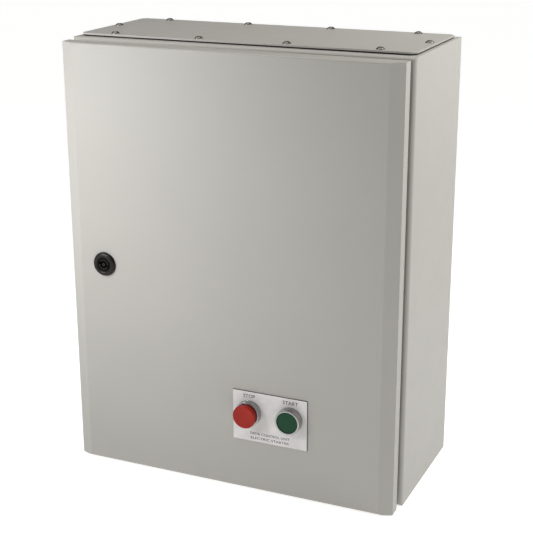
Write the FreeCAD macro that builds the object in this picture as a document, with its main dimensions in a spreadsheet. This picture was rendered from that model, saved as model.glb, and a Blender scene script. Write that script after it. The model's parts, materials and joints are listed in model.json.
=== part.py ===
"""Magnetic motor starter: a direct-on-line starter in a sheet-steel wall enclosure.

Frame: +X to the right of the door, +Y towards the wall, +Z up, millimetres.
Origin: centre of the enclosure's flat base.
"""
import FreeCAD, Part
import math
import os
from types import SimpleNamespace

import Sketcher

Vector = FreeCAD.Vector
DOC = FreeCAD.newDocument("motor_starter")

# ---------------------------------------------------------------- driving dimensions
DIMENSIONS = {
    # folded steel shell
    "body_width": 400, "body_height": 500, "body_depth": 168, "steel": 1.5,
    "front_radius": 5, "back_radius": 3,
    "collar_inset": 20, "collar_reach": 22.2,
    "wall_hole_radius": 4.5, "wall_hole_inset": 25,
    # door
    "door_side_gap": 2.5, "door_end_gap": 1.5, "door_proud": 30, "door_return": 14,
    "bevel_width": 15, "bevel_depth": 6, "door_radius": 2.5,
    "seal_width": 8, "seal_depth": 6,
    # gland plate on the top
    "gland_inset_side": 4, "gland_inset_end": 12, "gland_corner": 5, "gland_plate": 2,
    "gland_seal": 1.5, "opening_inset_side": 22, "opening_inset_end": 30,
    "screw_outer": 155.5, "screw_inner": 51.8, "screw_row": 64, "screw_side": 188,
    "screw_hole": 2.7, "screw_shank": 2.4, "screw_head": 4.8, "screw_head_rise": 2.6,
    "screw_length": 9, "cross_width": 1.1, "cross_reach": 2.5, "cross_depth": 1.4,
    # hinges
    "pin_x": 192.5, "pin_y": -95, "pin_radius": 2, "pin_clearance": 0.05,
    "knuckle_radius": 3.2, "hinge_upper": 410, "hinge_lower": 90,
    "ear_height": 12, "door_knuckle": 20, "knuckle_gap": 0.4, "leaf_reach": 12,
    "leaf_start": 4,
    # quarter-turn lock
    "lock_x": -152, "lock_z": 249, "lock_head": 14, "lock_head_rise": 4, "lock_barrel": 11,
    "lock_dome": 3,
    "lock_hole": 11.2, "lock_barrel_length": 26, "core_head": 8.2, "core_shank": 6.4,
    "core_clearance": 0.05, "key_well": 4.4, "key_pin": 2.1, "key_depth": 7, "bit_reach": 7,
    "bit_width": 3, "lock_nut_flat": 27, "lock_nut_height": 5,
    "cam_thickness": 3, "cam_length": 43, "cam_width": 18, "cam_square": 8,
    "cam_shoulder": 6, "cam_corner": 4, "cam_screw_head": 4, "core_step": 4,
    # legend plate and push buttons
    "plate_x": 53.5, "plate_z": 92.7, "plate_width": 90, "plate_height": 60, "plate_thick": 1.5,
    "button_pitch": 50, "button_z": 97.6, "button_hole": 11.2, "button_barrel": 11,
    "bezel_radius": 14.8, "stop_bezel_rise": 8, "start_bezel_rise": 10,
    "barrel_length": 14, "stop_head_radius": 13.7, "stop_head_rise": 15.5, "stop_head_thick": 2.9,
    "start_head_radius": 12.4, "stem_radius": 5, "stem_tip": 3.6, "button_travel": 3,
    "bezel_floor": 1.5, "bezel_shoulder": 3, "spring_outer": 8, "spring_inner": 6.6,
    "spring_bore": 9.5,
    "fixing_nut_radius": 14, "fixing_nut_height": 6,
    "block_width": 30, "block_height": 42, "block_depth": 40, "plunger_side": 4,
    "block_nose": 12, "block_nose_inset_x": 3, "block_nose_inset_z": 6, "block_bore": 26,
    "block_screw_x": 8, "block_screw_inset": 4, "block_screw_radius": 2.2,
    "plunger_length": 19.4, "nut_notch": 3,
    # mounting plate
    "panel_width": 344, "panel_height": 444, "panel_thick": 2, "panel_standoff": 12.5,
    "panel_corner": 16, "stud_x": 155, "stud_inset": 48, "stud_radius": 4, "stud_length": 24,
    "nut_height": 6.5,
    # contactor
    "contactor_x": -15, "contactor_z": 300, "contactor_half": 45, "pole_pitch": 28,
    "contactor_travel": 6,
    "case_wall": 4, "case_seam": 48, "base_floor": 4, "base_height": 110,
    "foot_height": 132, "foot_thick": 6, "foot_hole": 2.6, "foot_hole_x": 30, "foot_hole_z": 61,
    "cover_depth": 100, "cover_height": 84, "shelf_level": 56.5, "shelf_height": 120,
    "fin_level": 76, "fin_thick": 3, "bar_level": 59, "bar_thick": 2,
    "magnet_width": 60, "magnet_leg": 18, "magnet_window": 21, "magnet_stack": 30,
    "magnet_yoke": 10, "magnet_meet": 32, "armature_level": 56,
    "coil_width": 40, "coil_height": 54,
    "return_spring_x": 35.5, "post_height": 29, "post_radius": 3, "return_spring_length": 23,
    "carrier_width": 70, "carrier_depth": 18, "carrier_height": 22,
    "wing_width": 80, "wing_depth": 8, "wing_height": 16,
    "flag_half_width": 3.6, "flag_half_height": 6, "flag_depth": 42,
    "bridge_level": 12, "bridge_thick": 2, "bridge_half_width": 5, "bridge_reach": 21,
    "tip_offset": 17, "tip_radius": 3, "tip_height": 1.5,
    "bar_half_width": 5.5, "bar_start": 13, "bar_end": 58, "clamp_offset": 51,
    "clamp_head": 4.6, "clamp_head_rise": 5, "clamp_hole": 2.2,
    # overload relay
    "overload_top": 234, "overload_bottom": 160, "overload_half": 42, "overload_depth": 80,
    "overload_wall": 3, "overload_front_wall": 4, "overload_step": 16, "overload_shelf": 58,
    "overload_fin_level": 70, "setting_row": 28, "setting_pitch": 26,
    "dial_radius": 9, "reset_radius": 5, "test_radius": 3.5,
    # control breaker, rail and terminals
    "rail_z": 425, "rail_height": 35, "rail_rise": 7.5, "rail_sheet": 1, "rail_length": 260,
    "rail_web": 27,
    "rail_x": 5, "breaker_x": 95, "breaker_width": 18, "terminal_width": 10, "terminal_count": 6,
    "terminal_x": -75, "terminal_depth": 42, "terminal_shoulder": 30, "terminal_height": 52,
    "terminal_nose": 24, "breaker_depth": 44, "breaker_nose_depth": 62, "breaker_height": 84,
    "breaker_nose": 44, "toggle_level": 53, "toggle_radius": 7.5, "toggle_reach": 73,
    "power_lead_radius": 2.2, "loom_radius": 4,
    # trunking
    "trunk_x": -148, "trunk_width": 34, "trunk_depth": 50, "trunk_wall": 1.6,
    "trunk_bottom": 60, "trunk_top": 395, "trunk_pitch": 12.5,
    "trunk_slots": 26, "trunk_slot_height": 6, "trunk_slot_floor": 14, "trunk_first_slot": 10,
    "lid_lip": 6,
}


class Size(float):
    """A number that also remembers the spreadsheet expression it came from."""

    def __new__(cls, value, text):
        number = float.__new__(cls, value)
        number.text = text
        return number

    def __add__(self, other):
        return combine(self, "+", other, float(self) + float(other))

    def __radd__(self, other):
        return combine(other, "+", self, float(other) + float(self))

    def __sub__(self, other):
        return combine(self, "-", other, float(self) - float(other))

    def __rsub__(self, other):
        return combine(other, "-", self, float(other) - float(self))

    def __mul__(self, other):
        return combine(self, "*", other, float(self) * float(other))

    def __rmul__(self, other):
        return combine(other, "*", self, float(other) * float(self))

    def __truediv__(self, other):
        return combine(self, "/", other, float(self) / float(other))

    def __neg__(self):
        return Size(-float(self), f"(-1 * {self.text})")


def text_of(value):
    """The expression text of a size, or the digits of a plain number."""
    return value.text if isinstance(value, Size) else repr(float(value))


def combine(left, sign, right, value):
    return Size(value, f"({text_of(left)} {sign} {text_of(right)})")


def make_sheet():
    """Write the driving dimensions to a spreadsheet and return them as sizes."""
    sheet = DOC.addObject("Spreadsheet::Sheet", "dims")
    sizes = {}
    for row, (alias, value) in enumerate(DIMENSIONS.items(), start=1):
        sheet.set(f"A{row}", alias)
        sheet.set(f"B{row}", str(value))
        sheet.setAlias(f"B{row}", alias)
        sizes[alias] = Size(value, f"dims.{alias}")
    DOC.recompute()
    return SimpleNamespace(**sizes)


S = make_sheet()
SUB_PARTS = []

# ---------------------------------------------------------------- planes shared by many parts
FRONT = -S.body_depth / 2
BACK = S.body_depth / 2
DOOR_FACE = FRONT - S.door_proud
DOOR_INNER = DOOR_FACE + S.steel
DOOR_HALF = S.body_width / 2 - S.door_side_gap
DOOR_RIM = DOOR_FACE + S.bevel_depth + S.door_return
COLLAR_HALF = S.body_width / 2 - S.collar_inset
PLATE_FACE = DOOR_FACE - S.plate_thick
PANEL_FACE = BACK - S.steel - S.panel_standoff - S.panel_thick
PANEL_BACK = PANEL_FACE + S.panel_thick
SKIRT_END = PLATE_FACE - S.bezel_floor - S.button_travel - 0.2
STOP_X = S.plate_x - S.button_pitch / 2
START_X = S.plate_x + S.button_pitch / 2
CLOSED_GAP = 0.1
THROAT_LEVEL = 14


# ---------------------------------------------------------------- helpers: sketches and features
def finish(obj, label):
    """Name a finished sub-part; its label is the name of its file."""
    obj.Label = label
    SUB_PARTS.append(obj)
    return obj


def rect(x0, y0, x1, y1):
    return [(x0, y0), (x1, y0), (x1, y1), (x0, y1)]


def circle(x, y, radius):
    return ("circle", x, y, radius)


def new_body(name):
    return DOC.addObject("PartDesign::Body", name + "_body")


def pin_point(sketch, geometry, place, x, y):
    """Fix a sketch point by its two sizes from the origin."""
    for kind, axis, value in (("DistanceX", -2, x), ("DistanceY", -1, y)):
        if float(value) == 0.0:
            sketch.addConstraint(Sketcher.Constraint("PointOnObject", geometry, place, axis))
            continue
        index = sketch.addConstraint(
            Sketcher.Constraint(kind, -1, 1, geometry, place, float(value)))
        sketch.setExpression(f"Constraints[{index}]", text_of(value))


def draw_circle(sketch, loop):
    _, x, y, radius = loop
    centre = Vector(float(x), float(y), 0)
    geometry = sketch.addGeometry(Part.Circle(centre, Vector(0, 0, 1), float(radius)), False)
    pin_point(sketch, geometry, 3, x, y)
    index = sketch.addConstraint(Sketcher.Constraint("Radius", geometry, float(radius)))
    sketch.setExpression(f"Constraints[{index}]", text_of(radius))


def draw_polygon(sketch, points):
    corners = [Vector(float(x), float(y), 0) for x, y in points]
    lines = []
    for start, end in zip(corners, corners[1:] + corners[:1]):
        lines.append(sketch.addGeometry(Part.LineSegment(start, end), False))
    for line, following in zip(lines, lines[1:] + lines[:1]):
        sketch.addConstraint(Sketcher.Constraint("Coincident", line, 2, following, 1))
    for line, (x, y) in zip(lines, points):
        pin_point(sketch, line, 1, x, y)


def new_sketch(body, plane, offset):
    """A sketch on one of the body's origin planes, moved along that plane's axis."""
    sketch = body.newObject("Sketcher::SketchObject", "Sketch")
    support = [item for item in body.Origin.OriginFeatures if item.Role == plane + "_Plane"][0]
    sketch.AttachmentSupport = [(support, "")]
    sketch.MapMode = "FlatFace"
    shift = -offset if plane == "XZ" else offset
    sketch.AttachmentOffset = FreeCAD.Placement(Vector(0, 0, float(shift)), FreeCAD.Rotation())
    sketch.setExpression("AttachmentOffset.Base.z", text_of(shift))
    return sketch


def extrude(body, kind, plane, start, reach, *loops):
    """Pad or pocket from the coordinate start, by reach along the plane's own axis."""
    sketch = new_sketch(body, plane, start)
    for loop in loops:
        if loop[0] == "circle":
            draw_circle(sketch, loop)
        else:
            draw_polygon(sketch, loop)
    DOC.recompute()
    before = body.Shape.Volume if body.Tip and not body.Shape.isNull() else 0.0
    feature = body.newObject("PartDesign::" + kind, kind)
    feature.Profile = sketch
    size = reach if float(reach) > 0 else -reach
    feature.Length = float(size)
    feature.setExpression("Length", text_of(size))
    along_normal = (float(reach) > 0) != (plane == "XZ")
    feature.Reversed = along_normal if kind == "Pocket" else not along_normal
    DOC.recompute()
    changed = body.Shape.Volume - before
    if (changed < 1e-6) if kind == "Pad" else (changed > -1e-6):
        raise RuntimeError(f"{body.Name}: {kind} changed nothing")
    return feature


def pad(body, plane, start, reach, *loops):
    return extrude(body, "Pad", plane, start, reach, *loops)


def pocket(body, plane, start, reach, *loops):
    return extrude(body, "Pocket", plane, start, reach, *loops)


def edge_dress(body, kind, size, wanted):
    """Fillet or chamfer every edge of the body's tip for which wanted(edge) is true."""
    tip = body.Tip
    names = [f"Edge{i}" for i, edge in enumerate(tip.Shape.Edges, start=1) if wanted(edge)]
    feature = body.newObject("PartDesign::" + kind, kind)
    feature.Base = (tip, names)
    prop = "Radius" if kind == "Fillet" else "Size"
    setattr(feature, prop, float(size))
    feature.setExpression(prop, text_of(size))
    DOC.recompute()
    return feature


def straight(edge, axis):
    """True for a straight edge that runs along the named axis."""
    box = edge.BoundBox
    spans = {"x": box.XLength, "y": box.YLength, "z": box.ZLength}
    longest = max(spans, key=spans.get)
    others = [span for name, span in spans.items() if name != axis]
    return longest == axis and max(others) < 1e-4


def near(value, target):
    return abs(float(value) - float(target)) < 1e-3


def turned(label, x, z, outline):
    """A body of revolution about the Y axis through (x, z); outline holds (y, radius)."""
    body = new_body(label)
    sketch = new_sketch(body, "YZ", x)
    draw_polygon(sketch, [(y, z + radius) for y, radius in outline])
    level = float(z)
    axis = Part.LineSegment(Vector(-1, level, 0), Vector(1, level, 0))
    line = sketch.addGeometry(axis, True)
    sketch.addConstraint(Sketcher.Constraint("Horizontal", line))
    pin_point(sketch, line, 1, -1, z)
    DOC.recompute()
    revolution = body.newObject("PartDesign::Revolution", "Revolution")
    revolution.Profile = sketch
    revolution.ReferenceAxis = (sketch, ["Axis0"])
    revolution.Angle = 360
    DOC.recompute()
    return body


# ---------------------------------------------------------------- helpers: primitives and booleans
def place(obj, low, rotation=None):
    obj.Placement = FreeCAD.Placement(Vector(*[float(v) for v in low]),
                                      rotation or FreeCAD.Rotation())
    for axis, value in zip("xyz", low):
        obj.setExpression(f"Placement.Base.{axis}", text_of(value))


def block(low, high):
    """A box between two opposite corners."""
    obj = DOC.addObject("Part::Box", "Block")
    for prop, start, end in zip(("Length", "Width", "Height"), low, high):
        obj.setExpression(prop, text_of(end - start))
    place(obj, low)
    return obj


AXIS_ROTATION = {
    "x": FreeCAD.Rotation(Vector(0, 1, 0), 90),
    "y": FreeCAD.Rotation(Vector(1, 0, 0), -90),
    "z": FreeCAD.Rotation(),
}


def rod(start, axis, length, radius):
    """A cylinder from start along +axis."""
    obj = DOC.addObject("Part::Cylinder", "Rod")
    obj.setExpression("Radius", text_of(radius))
    obj.setExpression("Height", text_of(length))
    place(obj, start, AXIS_ROTATION[axis])
    return obj


def hexagon(start, length, corner_radius):
    """A hexagonal prism from start along +Y."""
    obj = DOC.addObject("Part::Prism", "Hexagon")
    obj.Polygon = 6
    obj.setExpression("Circumradius", text_of(corner_radius))
    obj.setExpression("Height", text_of(length))
    place(obj, start, AXIS_ROTATION["y"])
    return obj


def combine_pair(kind, base, tool):
    obj = DOC.addObject("Part::" + kind, kind)
    obj.Base = base
    obj.Tool = tool
    obj.Refine = True
    return obj


def join(*parts):
    whole = parts[0]
    for part in parts[1:]:
        whole = combine_pair("Fuse", whole, part)
    return whole


def carve(base, *tools):
    for tool in tools:
        base = combine_pair("Cut", base, tool)
    return base


def tube(start, axis, length, outer, inner):
    return carve(rod(start, axis, length, outer), rod(start, axis, length, inner))


def group(label, shapes):
    """One node that holds several separate solids."""
    obj = DOC.addObject("Part::Feature", label + "_set")
    obj.Shape = Part.Compound(shapes)
    obj.Placement = FreeCAD.Placement()
    return finish(obj, label)


def repeat(label, master, offsets):
    """Copies of one master piece, each moved by an offset."""
    DOC.recompute()
    return group(label, [master.Shape.translated(Vector(*map(float, offset)))
                         for offset in offsets])


def rounded_route(points, reach=0.45):
    """Straight runs joined by tangent arcs, as one wire."""
    route = [Vector(*map(float, point)) for point in points]
    edges = []
    here = route[0]
    for before, corner, after in zip(route, route[1:], route[2:]):
        back, ahead = before - corner, after - corner
        cut = reach * min(back.Length, ahead.Length)
        back.normalize()
        ahead.normalize()
        half = back.getAngle(ahead) / 2
        middle = (back + ahead).normalize()
        start, end = corner + back * cut, corner + ahead * cut
        centre = corner + middle * (cut / math.cos(half))
        crown = centre - middle * (cut * math.tan(half))
        edges.append(Part.LineSegment(here, start).toShape())
        edges.append(Part.Arc(start, crown, end).toShape())
        here = end
    edges.append(Part.LineSegment(here, route[-1]).toShape())
    return Part.Wire(edges)


def lead(points, radius):
    """An insulated lead: a round section carried along its route."""
    wire = rounded_route(points)
    first = wire.OrderedEdges[0]
    section = Part.Wire([Part.makeCircle(radius, first.valueAt(first.FirstParameter),
                                         first.tangentAt(first.FirstParameter))])
    solid = wire.makePipeShell([section], True, True)
    expected = math.pi * radius ** 2 * wire.Length
    if abs(solid.Volume - expected) > 0.02 * expected:
        raise RuntimeError(f"lead volume {solid.Volume:.1f} is not {expected:.1f}")
    return solid


# ---------------------------------------------------------------- enclosure
def gland_screw_spots():
    """Where the ten gland-plate screws stand, as (x, y)."""
    spots = []
    for row in (-S.screw_row, S.screw_row):
        for x in (-S.screw_outer, -S.screw_inner, S.screw_inner, S.screw_outer):
            spots.append((x, row))
    return spots + [(-S.screw_side, 0), (S.screw_side, 0)]


def enclosure_body():
    """Folded shell: open front with a raised collar, gland opening in the top."""
    body = new_body("enclosure")
    half, top, skin = S.body_width / 2, S.body_height, S.steel
    pad(body, "XY", 0, top, rect(-half, FRONT, half, BACK))
    edge_dress(body, "Fillet", S.front_radius, lambda e: near(e.BoundBox.Center.y, FRONT))
    edge_dress(body, "Fillet", S.back_radius, lambda e: near(e.BoundBox.Center.y, BACK))
    pocket(body, "XY", skin, top - skin * 2,
           rect(skin - half, FRONT + skin, half - skin, BACK - skin))
    collar, mouth = COLLAR_HALF, COLLAR_HALF - skin
    low, high = S.collar_inset, top - S.collar_inset
    pocket(body, "XZ", FRONT - 1, skin + 2, rect(-mouth, low + skin, mouth, high - skin))
    pad(body, "XZ", FRONT + skin, -(skin + S.collar_reach),
        rect(-collar, low, collar, high), rect(-mouth, low + skin, mouth, high - skin))
    gland_half = half - S.opening_inset_side
    gland_y = BACK - S.opening_inset_end
    pocket(body, "XY", top + 1, -(skin + 2), rect(-gland_half, -gland_y, gland_half, gland_y))
    pocket(body, "XY", top + 1, -(skin + 2),
           *[circle(x, y, S.screw_shank + 0.1) for x, y in gland_screw_spots()])
    inset = S.wall_hole_inset
    pocket(body, "XZ", BACK + 1, -(skin + 2),
           *[circle(x, z, S.wall_hole_radius)
             for x in (inset - half, half - inset) for z in (inset, top - inset)])
    return finish(body, "enclosure_body")


def chamfered_rect(x, y, cut):
    return [(cut - x, -y), (x - cut, -y), (x, cut - y), (x, y - cut),
            (x - cut, y), (cut - x, y), (-x, y - cut), (-x, cut - y)]


def gland_parts():
    """Blank gland plate on its seal, held by ten pan-head screws."""
    half_x = S.body_width / 2 - S.gland_inset_side
    half_y = BACK - S.gland_inset_end
    hole_x = S.body_width / 2 - S.opening_inset_side
    hole_y = BACK - S.opening_inset_end
    holes = [circle(x, y, S.screw_hole) for x, y in gland_screw_spots()]
    seal = new_body("gland_gasket")
    pad(seal, "XY", S.body_height, S.gland_seal,
        chamfered_rect(half_x - 0.8, half_y - 0.8, S.gland_corner),
        rect(-hole_x, -hole_y, hole_x, hole_y), *holes)
    finish(seal, "gland_gasket")
    plate = new_body("gland_plate")
    seat = S.body_height + S.gland_seal
    pad(plate, "XY", seat, S.gland_plate, chamfered_rect(half_x, half_y, S.gland_corner), *holes)
    top = seat + S.gland_plate
    edge_dress(plate, "Fillet", S.gland_plate / 4,
               lambda e: near(e.BoundBox.ZMin, top) and e.BoundBox.DiagonalLength > 6)
    finish(plate, "gland_plate")
    screw = cross_screw((0, 0, top), S.screw_head, S.screw_head_rise, S.screw_shank,
                        S.screw_length)
    repeat("gland_plate_screws", screw, [(x, y, 0) for x, y in gland_screw_spots()])


def cross_screw(seat, head, rise, shank, length):
    """Pan-head screw with a cross recess, pointing down from its seat."""
    x, y, z = seat
    crown = DOC.addObject("Part::Cone", "Crown")
    crown.setExpression("Radius1", text_of(head))
    crown.setExpression("Radius2", text_of(head * 0.62))
    crown.setExpression("Height", text_of(rise * 0.45))
    place(crown, (x, y, z + rise * 0.55))
    drum = rod(seat, "z", rise * 0.55, head)
    stem = rod((x, y, z - length), "z", length, shank)
    solid = join(stem, drum, crown)
    wide, reach, floor = S.cross_width / 2, S.cross_reach, z + rise - S.cross_depth
    roof = z + rise + 1
    slot_x = block((x - reach, y - wide, floor), (x + reach, y + wide, roof))
    slot_y = block((x - wide, y - reach, floor), (x + wide, y + reach, roof))
    return carve(solid, slot_x, slot_y)


# ---------------------------------------------------------------- door
def door_profile(inset, rim):
    """Door section across X: bevelled left and right edges, open towards the wall."""
    tilt = math.atan2(S.bevel_depth, S.bevel_width)
    half = DOOR_HALF - inset
    face = DOOR_FACE + inset
    shoulder = DOOR_FACE + S.bevel_depth + inset * (1 / math.cos(tilt) - math.tan(tilt))
    flat = DOOR_HALF - S.bevel_width - inset * math.tan(tilt / 2)
    return [(-half, rim), (-half, shoulder), (-flat, face), (flat, face), (half, shoulder),
            (half, rim)]


def door():
    body = new_body("door")
    low, high = S.door_end_gap, S.body_height - S.door_end_gap
    pad(body, "XY", low, high - low, door_profile(0, DOOR_RIM))

    def front_edge(edge):
        return near(edge.BoundBox.YMax, edge.BoundBox.YMin) and straight(edge, "x")

    edge_dress(body, "Fillet", S.door_radius,
               lambda e: front_edge(e) and near(e.BoundBox.YMin, DOOR_FACE))
    pocket(body, "XY", low + S.steel, high - low - S.steel * 2,
           door_profile(S.steel, DOOR_RIM + 1))
    holes = [circle(S.lock_x, S.lock_z, S.lock_hole)]
    for x in (STOP_X, START_X):
        holes.append(circle(x, S.button_z, S.button_hole))
    pocket(body, "XZ", DOOR_FACE - 1, S.steel + 2, *holes)
    return finish(body, "door")


def door_gasket():
    """Foamed seal that closes on the enclosure's collar."""
    body = new_body("door_gasket")
    mid = COLLAR_HALF - S.steel / 2
    outer, inner = mid + S.seal_width / 2, mid - S.seal_width / 2
    low = S.collar_inset + S.steel / 2
    high = S.body_height - low
    grow = S.seal_width / 2
    pad(body, "XZ", DOOR_INNER, S.seal_depth,
        rect(-outer + 1, low - grow, outer - 1, high + grow),
        rect(-inner, low + grow, inner, high - grow))
    return finish(body, "door_gasket")


def hinge(name, middle):
    """Hidden lift-off hinge: frame leaf with two ears, pin, and the door's knuckle."""
    ear, knuckle, gap = S.ear_height, S.door_knuckle, S.knuckle_gap
    half = knuckle / 2 + gap + ear
    x, y, radius = S.pin_x, S.pin_y, S.knuckle_radius
    leaf = new_body(name + "_frame_leaf")
    skin = S.steel
    pad(leaf, "XY", middle - half, half * 2,
        rect(COLLAR_HALF, FRONT - S.collar_reach + S.leaf_start, COLLAR_HALF + skin, FRONT))
    for low in (middle - half, middle + half - ear):
        pad(leaf, "XY", low, ear,
            [(COLLAR_HALF + skin / 2, y - radius), (x, y - radius), (x, y + 1),
             (COLLAR_HALF + skin / 2, y + 1)])
        pad(leaf, "XY", low, ear, circle(x, y, radius))
    pocket(leaf, "XY", middle - half - 1, half * 2 + 2, circle(x, y, S.pin_radius))
    finish(leaf, name + "_frame_leaf")
    finish(rod((x, y, middle - half), "z", half * 2, S.pin_radius), name + "_pin")
    door_leaf = new_body(name + "_door_leaf")
    inner = DOOR_HALF - skin
    low = middle - knuckle / 2
    pad(door_leaf, "XY", low, knuckle, rect(x - radius, y - S.leaf_reach, inner, y))
    pad(door_leaf, "XY", low, knuckle, circle(x, y, radius))
    pocket(door_leaf, "XY", low - 1, knuckle + 2, circle(x, y, S.pin_radius + S.pin_clearance))
    finish(door_leaf, name + "_door_leaf")


# ---------------------------------------------------------------- quarter-turn lock
def lock():
    """Cam lock with a double-bit insert; the cam hangs down when unlocked."""
    x, z, face = S.lock_x, S.lock_z, DOOR_FACE
    front = face - S.lock_head_rise
    rear = face + S.lock_barrel_length
    head, shank, slack = S.core_head, S.core_shank, S.core_clearance
    step = front + S.core_step
    housing = turned("lock_housing", x, z, [
        (front, head + 1), (front, S.lock_head - S.lock_dome),
        (front + 1.4, S.lock_head - 0.8), (front + S.lock_dome, S.lock_head),
        (face, S.lock_head), (face, S.lock_barrel), (rear, S.lock_barrel),
        (rear, shank + slack), (step, shank + slack), (step, head + slack),
        (front + 1, head + slack)])
    finish(housing, "lock_housing")
    core_front = front + 0.8
    cam_face = FRONT + S.steel + 0.4
    cam_back = cam_face + S.cam_thickness
    core = turned("lock_core", x, z, [
        (core_front, 0), (core_front, head - 0.6), (core_front + 0.6, head), (step - 0.1, head),
        (step - 0.1, shank), (rear + 0.2, shank), (rear + 0.2, 0)])
    pocket(core, "XZ", core_front - 1, S.key_depth + 1, circle(x, z, S.key_well),
           circle(x, z, S.key_pin))
    reach, half = S.bit_reach, S.bit_width / 2
    pocket(core, "XZ", core_front - 1, S.key_depth + 1,
           rect(x - reach, z - half, x - S.key_well + 0.5, z + half),
           rect(x + S.key_well - 0.5, z - half, x + reach, z + half))
    square = S.cam_square / 2
    pad(core, "XZ", rear + 0.2, cam_back - rear - 0.2,
        rect(x - square, z - square, x + square, z + square))
    finish(core, "lock_core")
    nut = carve(hexagon((x, DOOR_INNER, z), S.lock_nut_height,
                        S.lock_nut_flat / 2 / math.cos(math.pi / 6)),
                rod((x, DOOR_INNER - 1, z), "y", S.lock_nut_height + 2, S.lock_barrel))
    finish(nut, "lock_nut")
    wide, tip = S.cam_width / 2, z - S.cam_length
    neck, trim = S.cam_shoulder, S.cam_corner
    cam = new_body("lock_cam")
    pad(cam, "XZ", cam_face, S.cam_thickness,
        [(x - wide, z + neck), (x - neck, z + wide), (x + neck, z + wide), (x + wide, z + neck),
         (x + wide, tip + trim), (x + wide - trim, tip), (x - wide + trim, tip),
         (x - wide, tip + trim)])
    pocket(cam, "XZ", cam_face - 1, S.cam_thickness + 2,
           rect(x - square, z - square, x + square, z + square))
    finish(cam, "lock_cam")
    screw = hexagon((x, cam_back, z), S.cam_screw_head, S.cam_square * 0.8)
    finish(screw, "lock_cam_screw")


# ---------------------------------------------------------------- legend plate and push buttons
def legend_plate():
    body = new_body("legend_plate")
    half_x, half_z = S.plate_width / 2, S.plate_height / 2
    pad(body, "XZ", PLATE_FACE, S.plate_thick,
        rect(S.plate_x - half_x, S.plate_z - half_z, S.plate_x + half_x, S.plate_z + half_z),
        circle(STOP_X, S.button_z, S.button_hole), circle(START_X, S.button_z, S.button_hole))
    return finish(body, "legend_plate")


def button(name, x, bezel_rise, head_outline):
    """Push button: bezel and barrel, moving head and plunger, spring, nut and contact block."""
    z = S.button_z
    front, rear = PLATE_FACE - bezel_rise, DOOR_INNER + S.barrel_length
    guide = S.stem_tip + 0.1
    mouth = S.start_head_radius + 0.1
    floor = PLATE_FACE - S.bezel_floor
    shoulder = rear - S.bezel_shoulder
    finish(turned(name + "_bezel", x, z, [
        (front, mouth), (front, S.bezel_radius - 1.2), (front + 1.2, S.bezel_radius),
        (PLATE_FACE, S.bezel_radius), (PLATE_FACE, S.button_barrel), (rear, S.button_barrel),
        (rear, guide), (shoulder, guide), (shoulder, S.spring_bore), (floor, S.spring_bore),
        (floor, mouth)]), name + "_bezel")
    finish(turned(name + "_head", x, z, head_outline(shoulder)), name + "_head")
    finish(tube((x, SKIRT_END, z), "y", shoulder - SKIRT_END, S.spring_outer, S.spring_inner),
           name + "_spring")
    nut = tube((x, DOOR_INNER, z), "y", S.fixing_nut_height, S.fixing_nut_radius,
               S.button_barrel)
    notches, notch = [], S.nut_notch / 2
    for dx, dz in ((1, 0), (-1, 0), (0, 1), (0, -1)):
        cx, cz = x + dx * S.fixing_nut_radius, z + dz * S.fixing_nut_radius
        notches.append(block((cx - notch, DOOR_INNER + 2, cz - notch),
                             (cx + notch, DOOR_INNER + S.fixing_nut_height + 1, cz + notch)))
    finish(carve(nut, *notches), name + "_fixing_nut")
    contact_block(name, x, z, rear)


def contact_block(name, x, z, rear):
    """Snap-on contact block behind the panel with its sliding plunger."""
    half_x, half_z, side = S.block_width / 2, S.block_height / 2, S.plunger_side
    end = rear + S.block_depth
    shelf = end - S.block_nose
    nose_x, nose_z = half_x - S.block_nose_inset_x, half_z - S.block_nose_inset_z
    shell = join(block((x - half_x, rear, z - half_z), (x + half_x, shelf, z + half_z)),
                 block((x - nose_x, shelf, z - nose_z), (x + nose_x, end, z + nose_z)))
    bore = side + 0.15
    well = block((x - bore, rear - 1, z - bore), (x + bore, rear + S.block_bore, z + bore))
    slots = []
    for dz in (-1, 1):
        for dx in (-1, 1):
            cx, cz = x + dx * S.block_screw_x, z + dz * (half_z - S.block_screw_inset)
            slots.append(rod((cx, shelf - 3, cz), "y", 4, S.block_screw_radius))
    finish(carve(shell, well, *slots), name + "_contact_block")
    seat = rear + 0.6
    finish(block((x - side, seat, z - side), (x + side, seat + S.plunger_length, z + side)),
           name + "_plunger")


def stem_outline(shoulder):
    """The rear of a moving head: stem, then the tip that pushes the plunger."""
    stem_end = shoulder - S.button_travel - 0.2
    tip_end = shoulder + S.bezel_shoulder + 0.6
    return [(SKIRT_END, S.stem_radius), (stem_end, S.stem_radius), (stem_end, S.stem_tip),
            (tip_end, S.stem_tip), (tip_end, 0)]


def stop_outline(shoulder):
    """Projecting head: domed disc in front of the bezel, skirt inside it, stem behind."""
    front = PLATE_FACE - S.stop_head_rise
    disc, skirt = S.stop_head_radius, S.start_head_radius
    back = front + S.stop_head_thick
    return [(front, 0), (front + 0.5, disc * 0.75), (front + 1.3, disc - 0.5),
            (front + 1.9, disc), (back, disc), (back, skirt),
            (SKIRT_END, skirt)] + stem_outline(shoulder)


def start_outline(shoulder):
    """Flush head: a shallow crown just inside the bezel's rim."""
    front = PLATE_FACE - S.start_bezel_rise + 0.4
    disc = S.start_head_radius
    return [(front, 0), (front + 0.5, disc - 0.8), (front + 1.1, disc),
            (SKIRT_END, disc)] + stem_outline(shoulder)


# ---------------------------------------------------------------- mounting plate and fixings
def stud_spots():
    return [(x, z) for x in (-S.stud_x, S.stud_x)
            for z in (S.stud_inset, S.body_height - S.stud_inset)]


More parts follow.
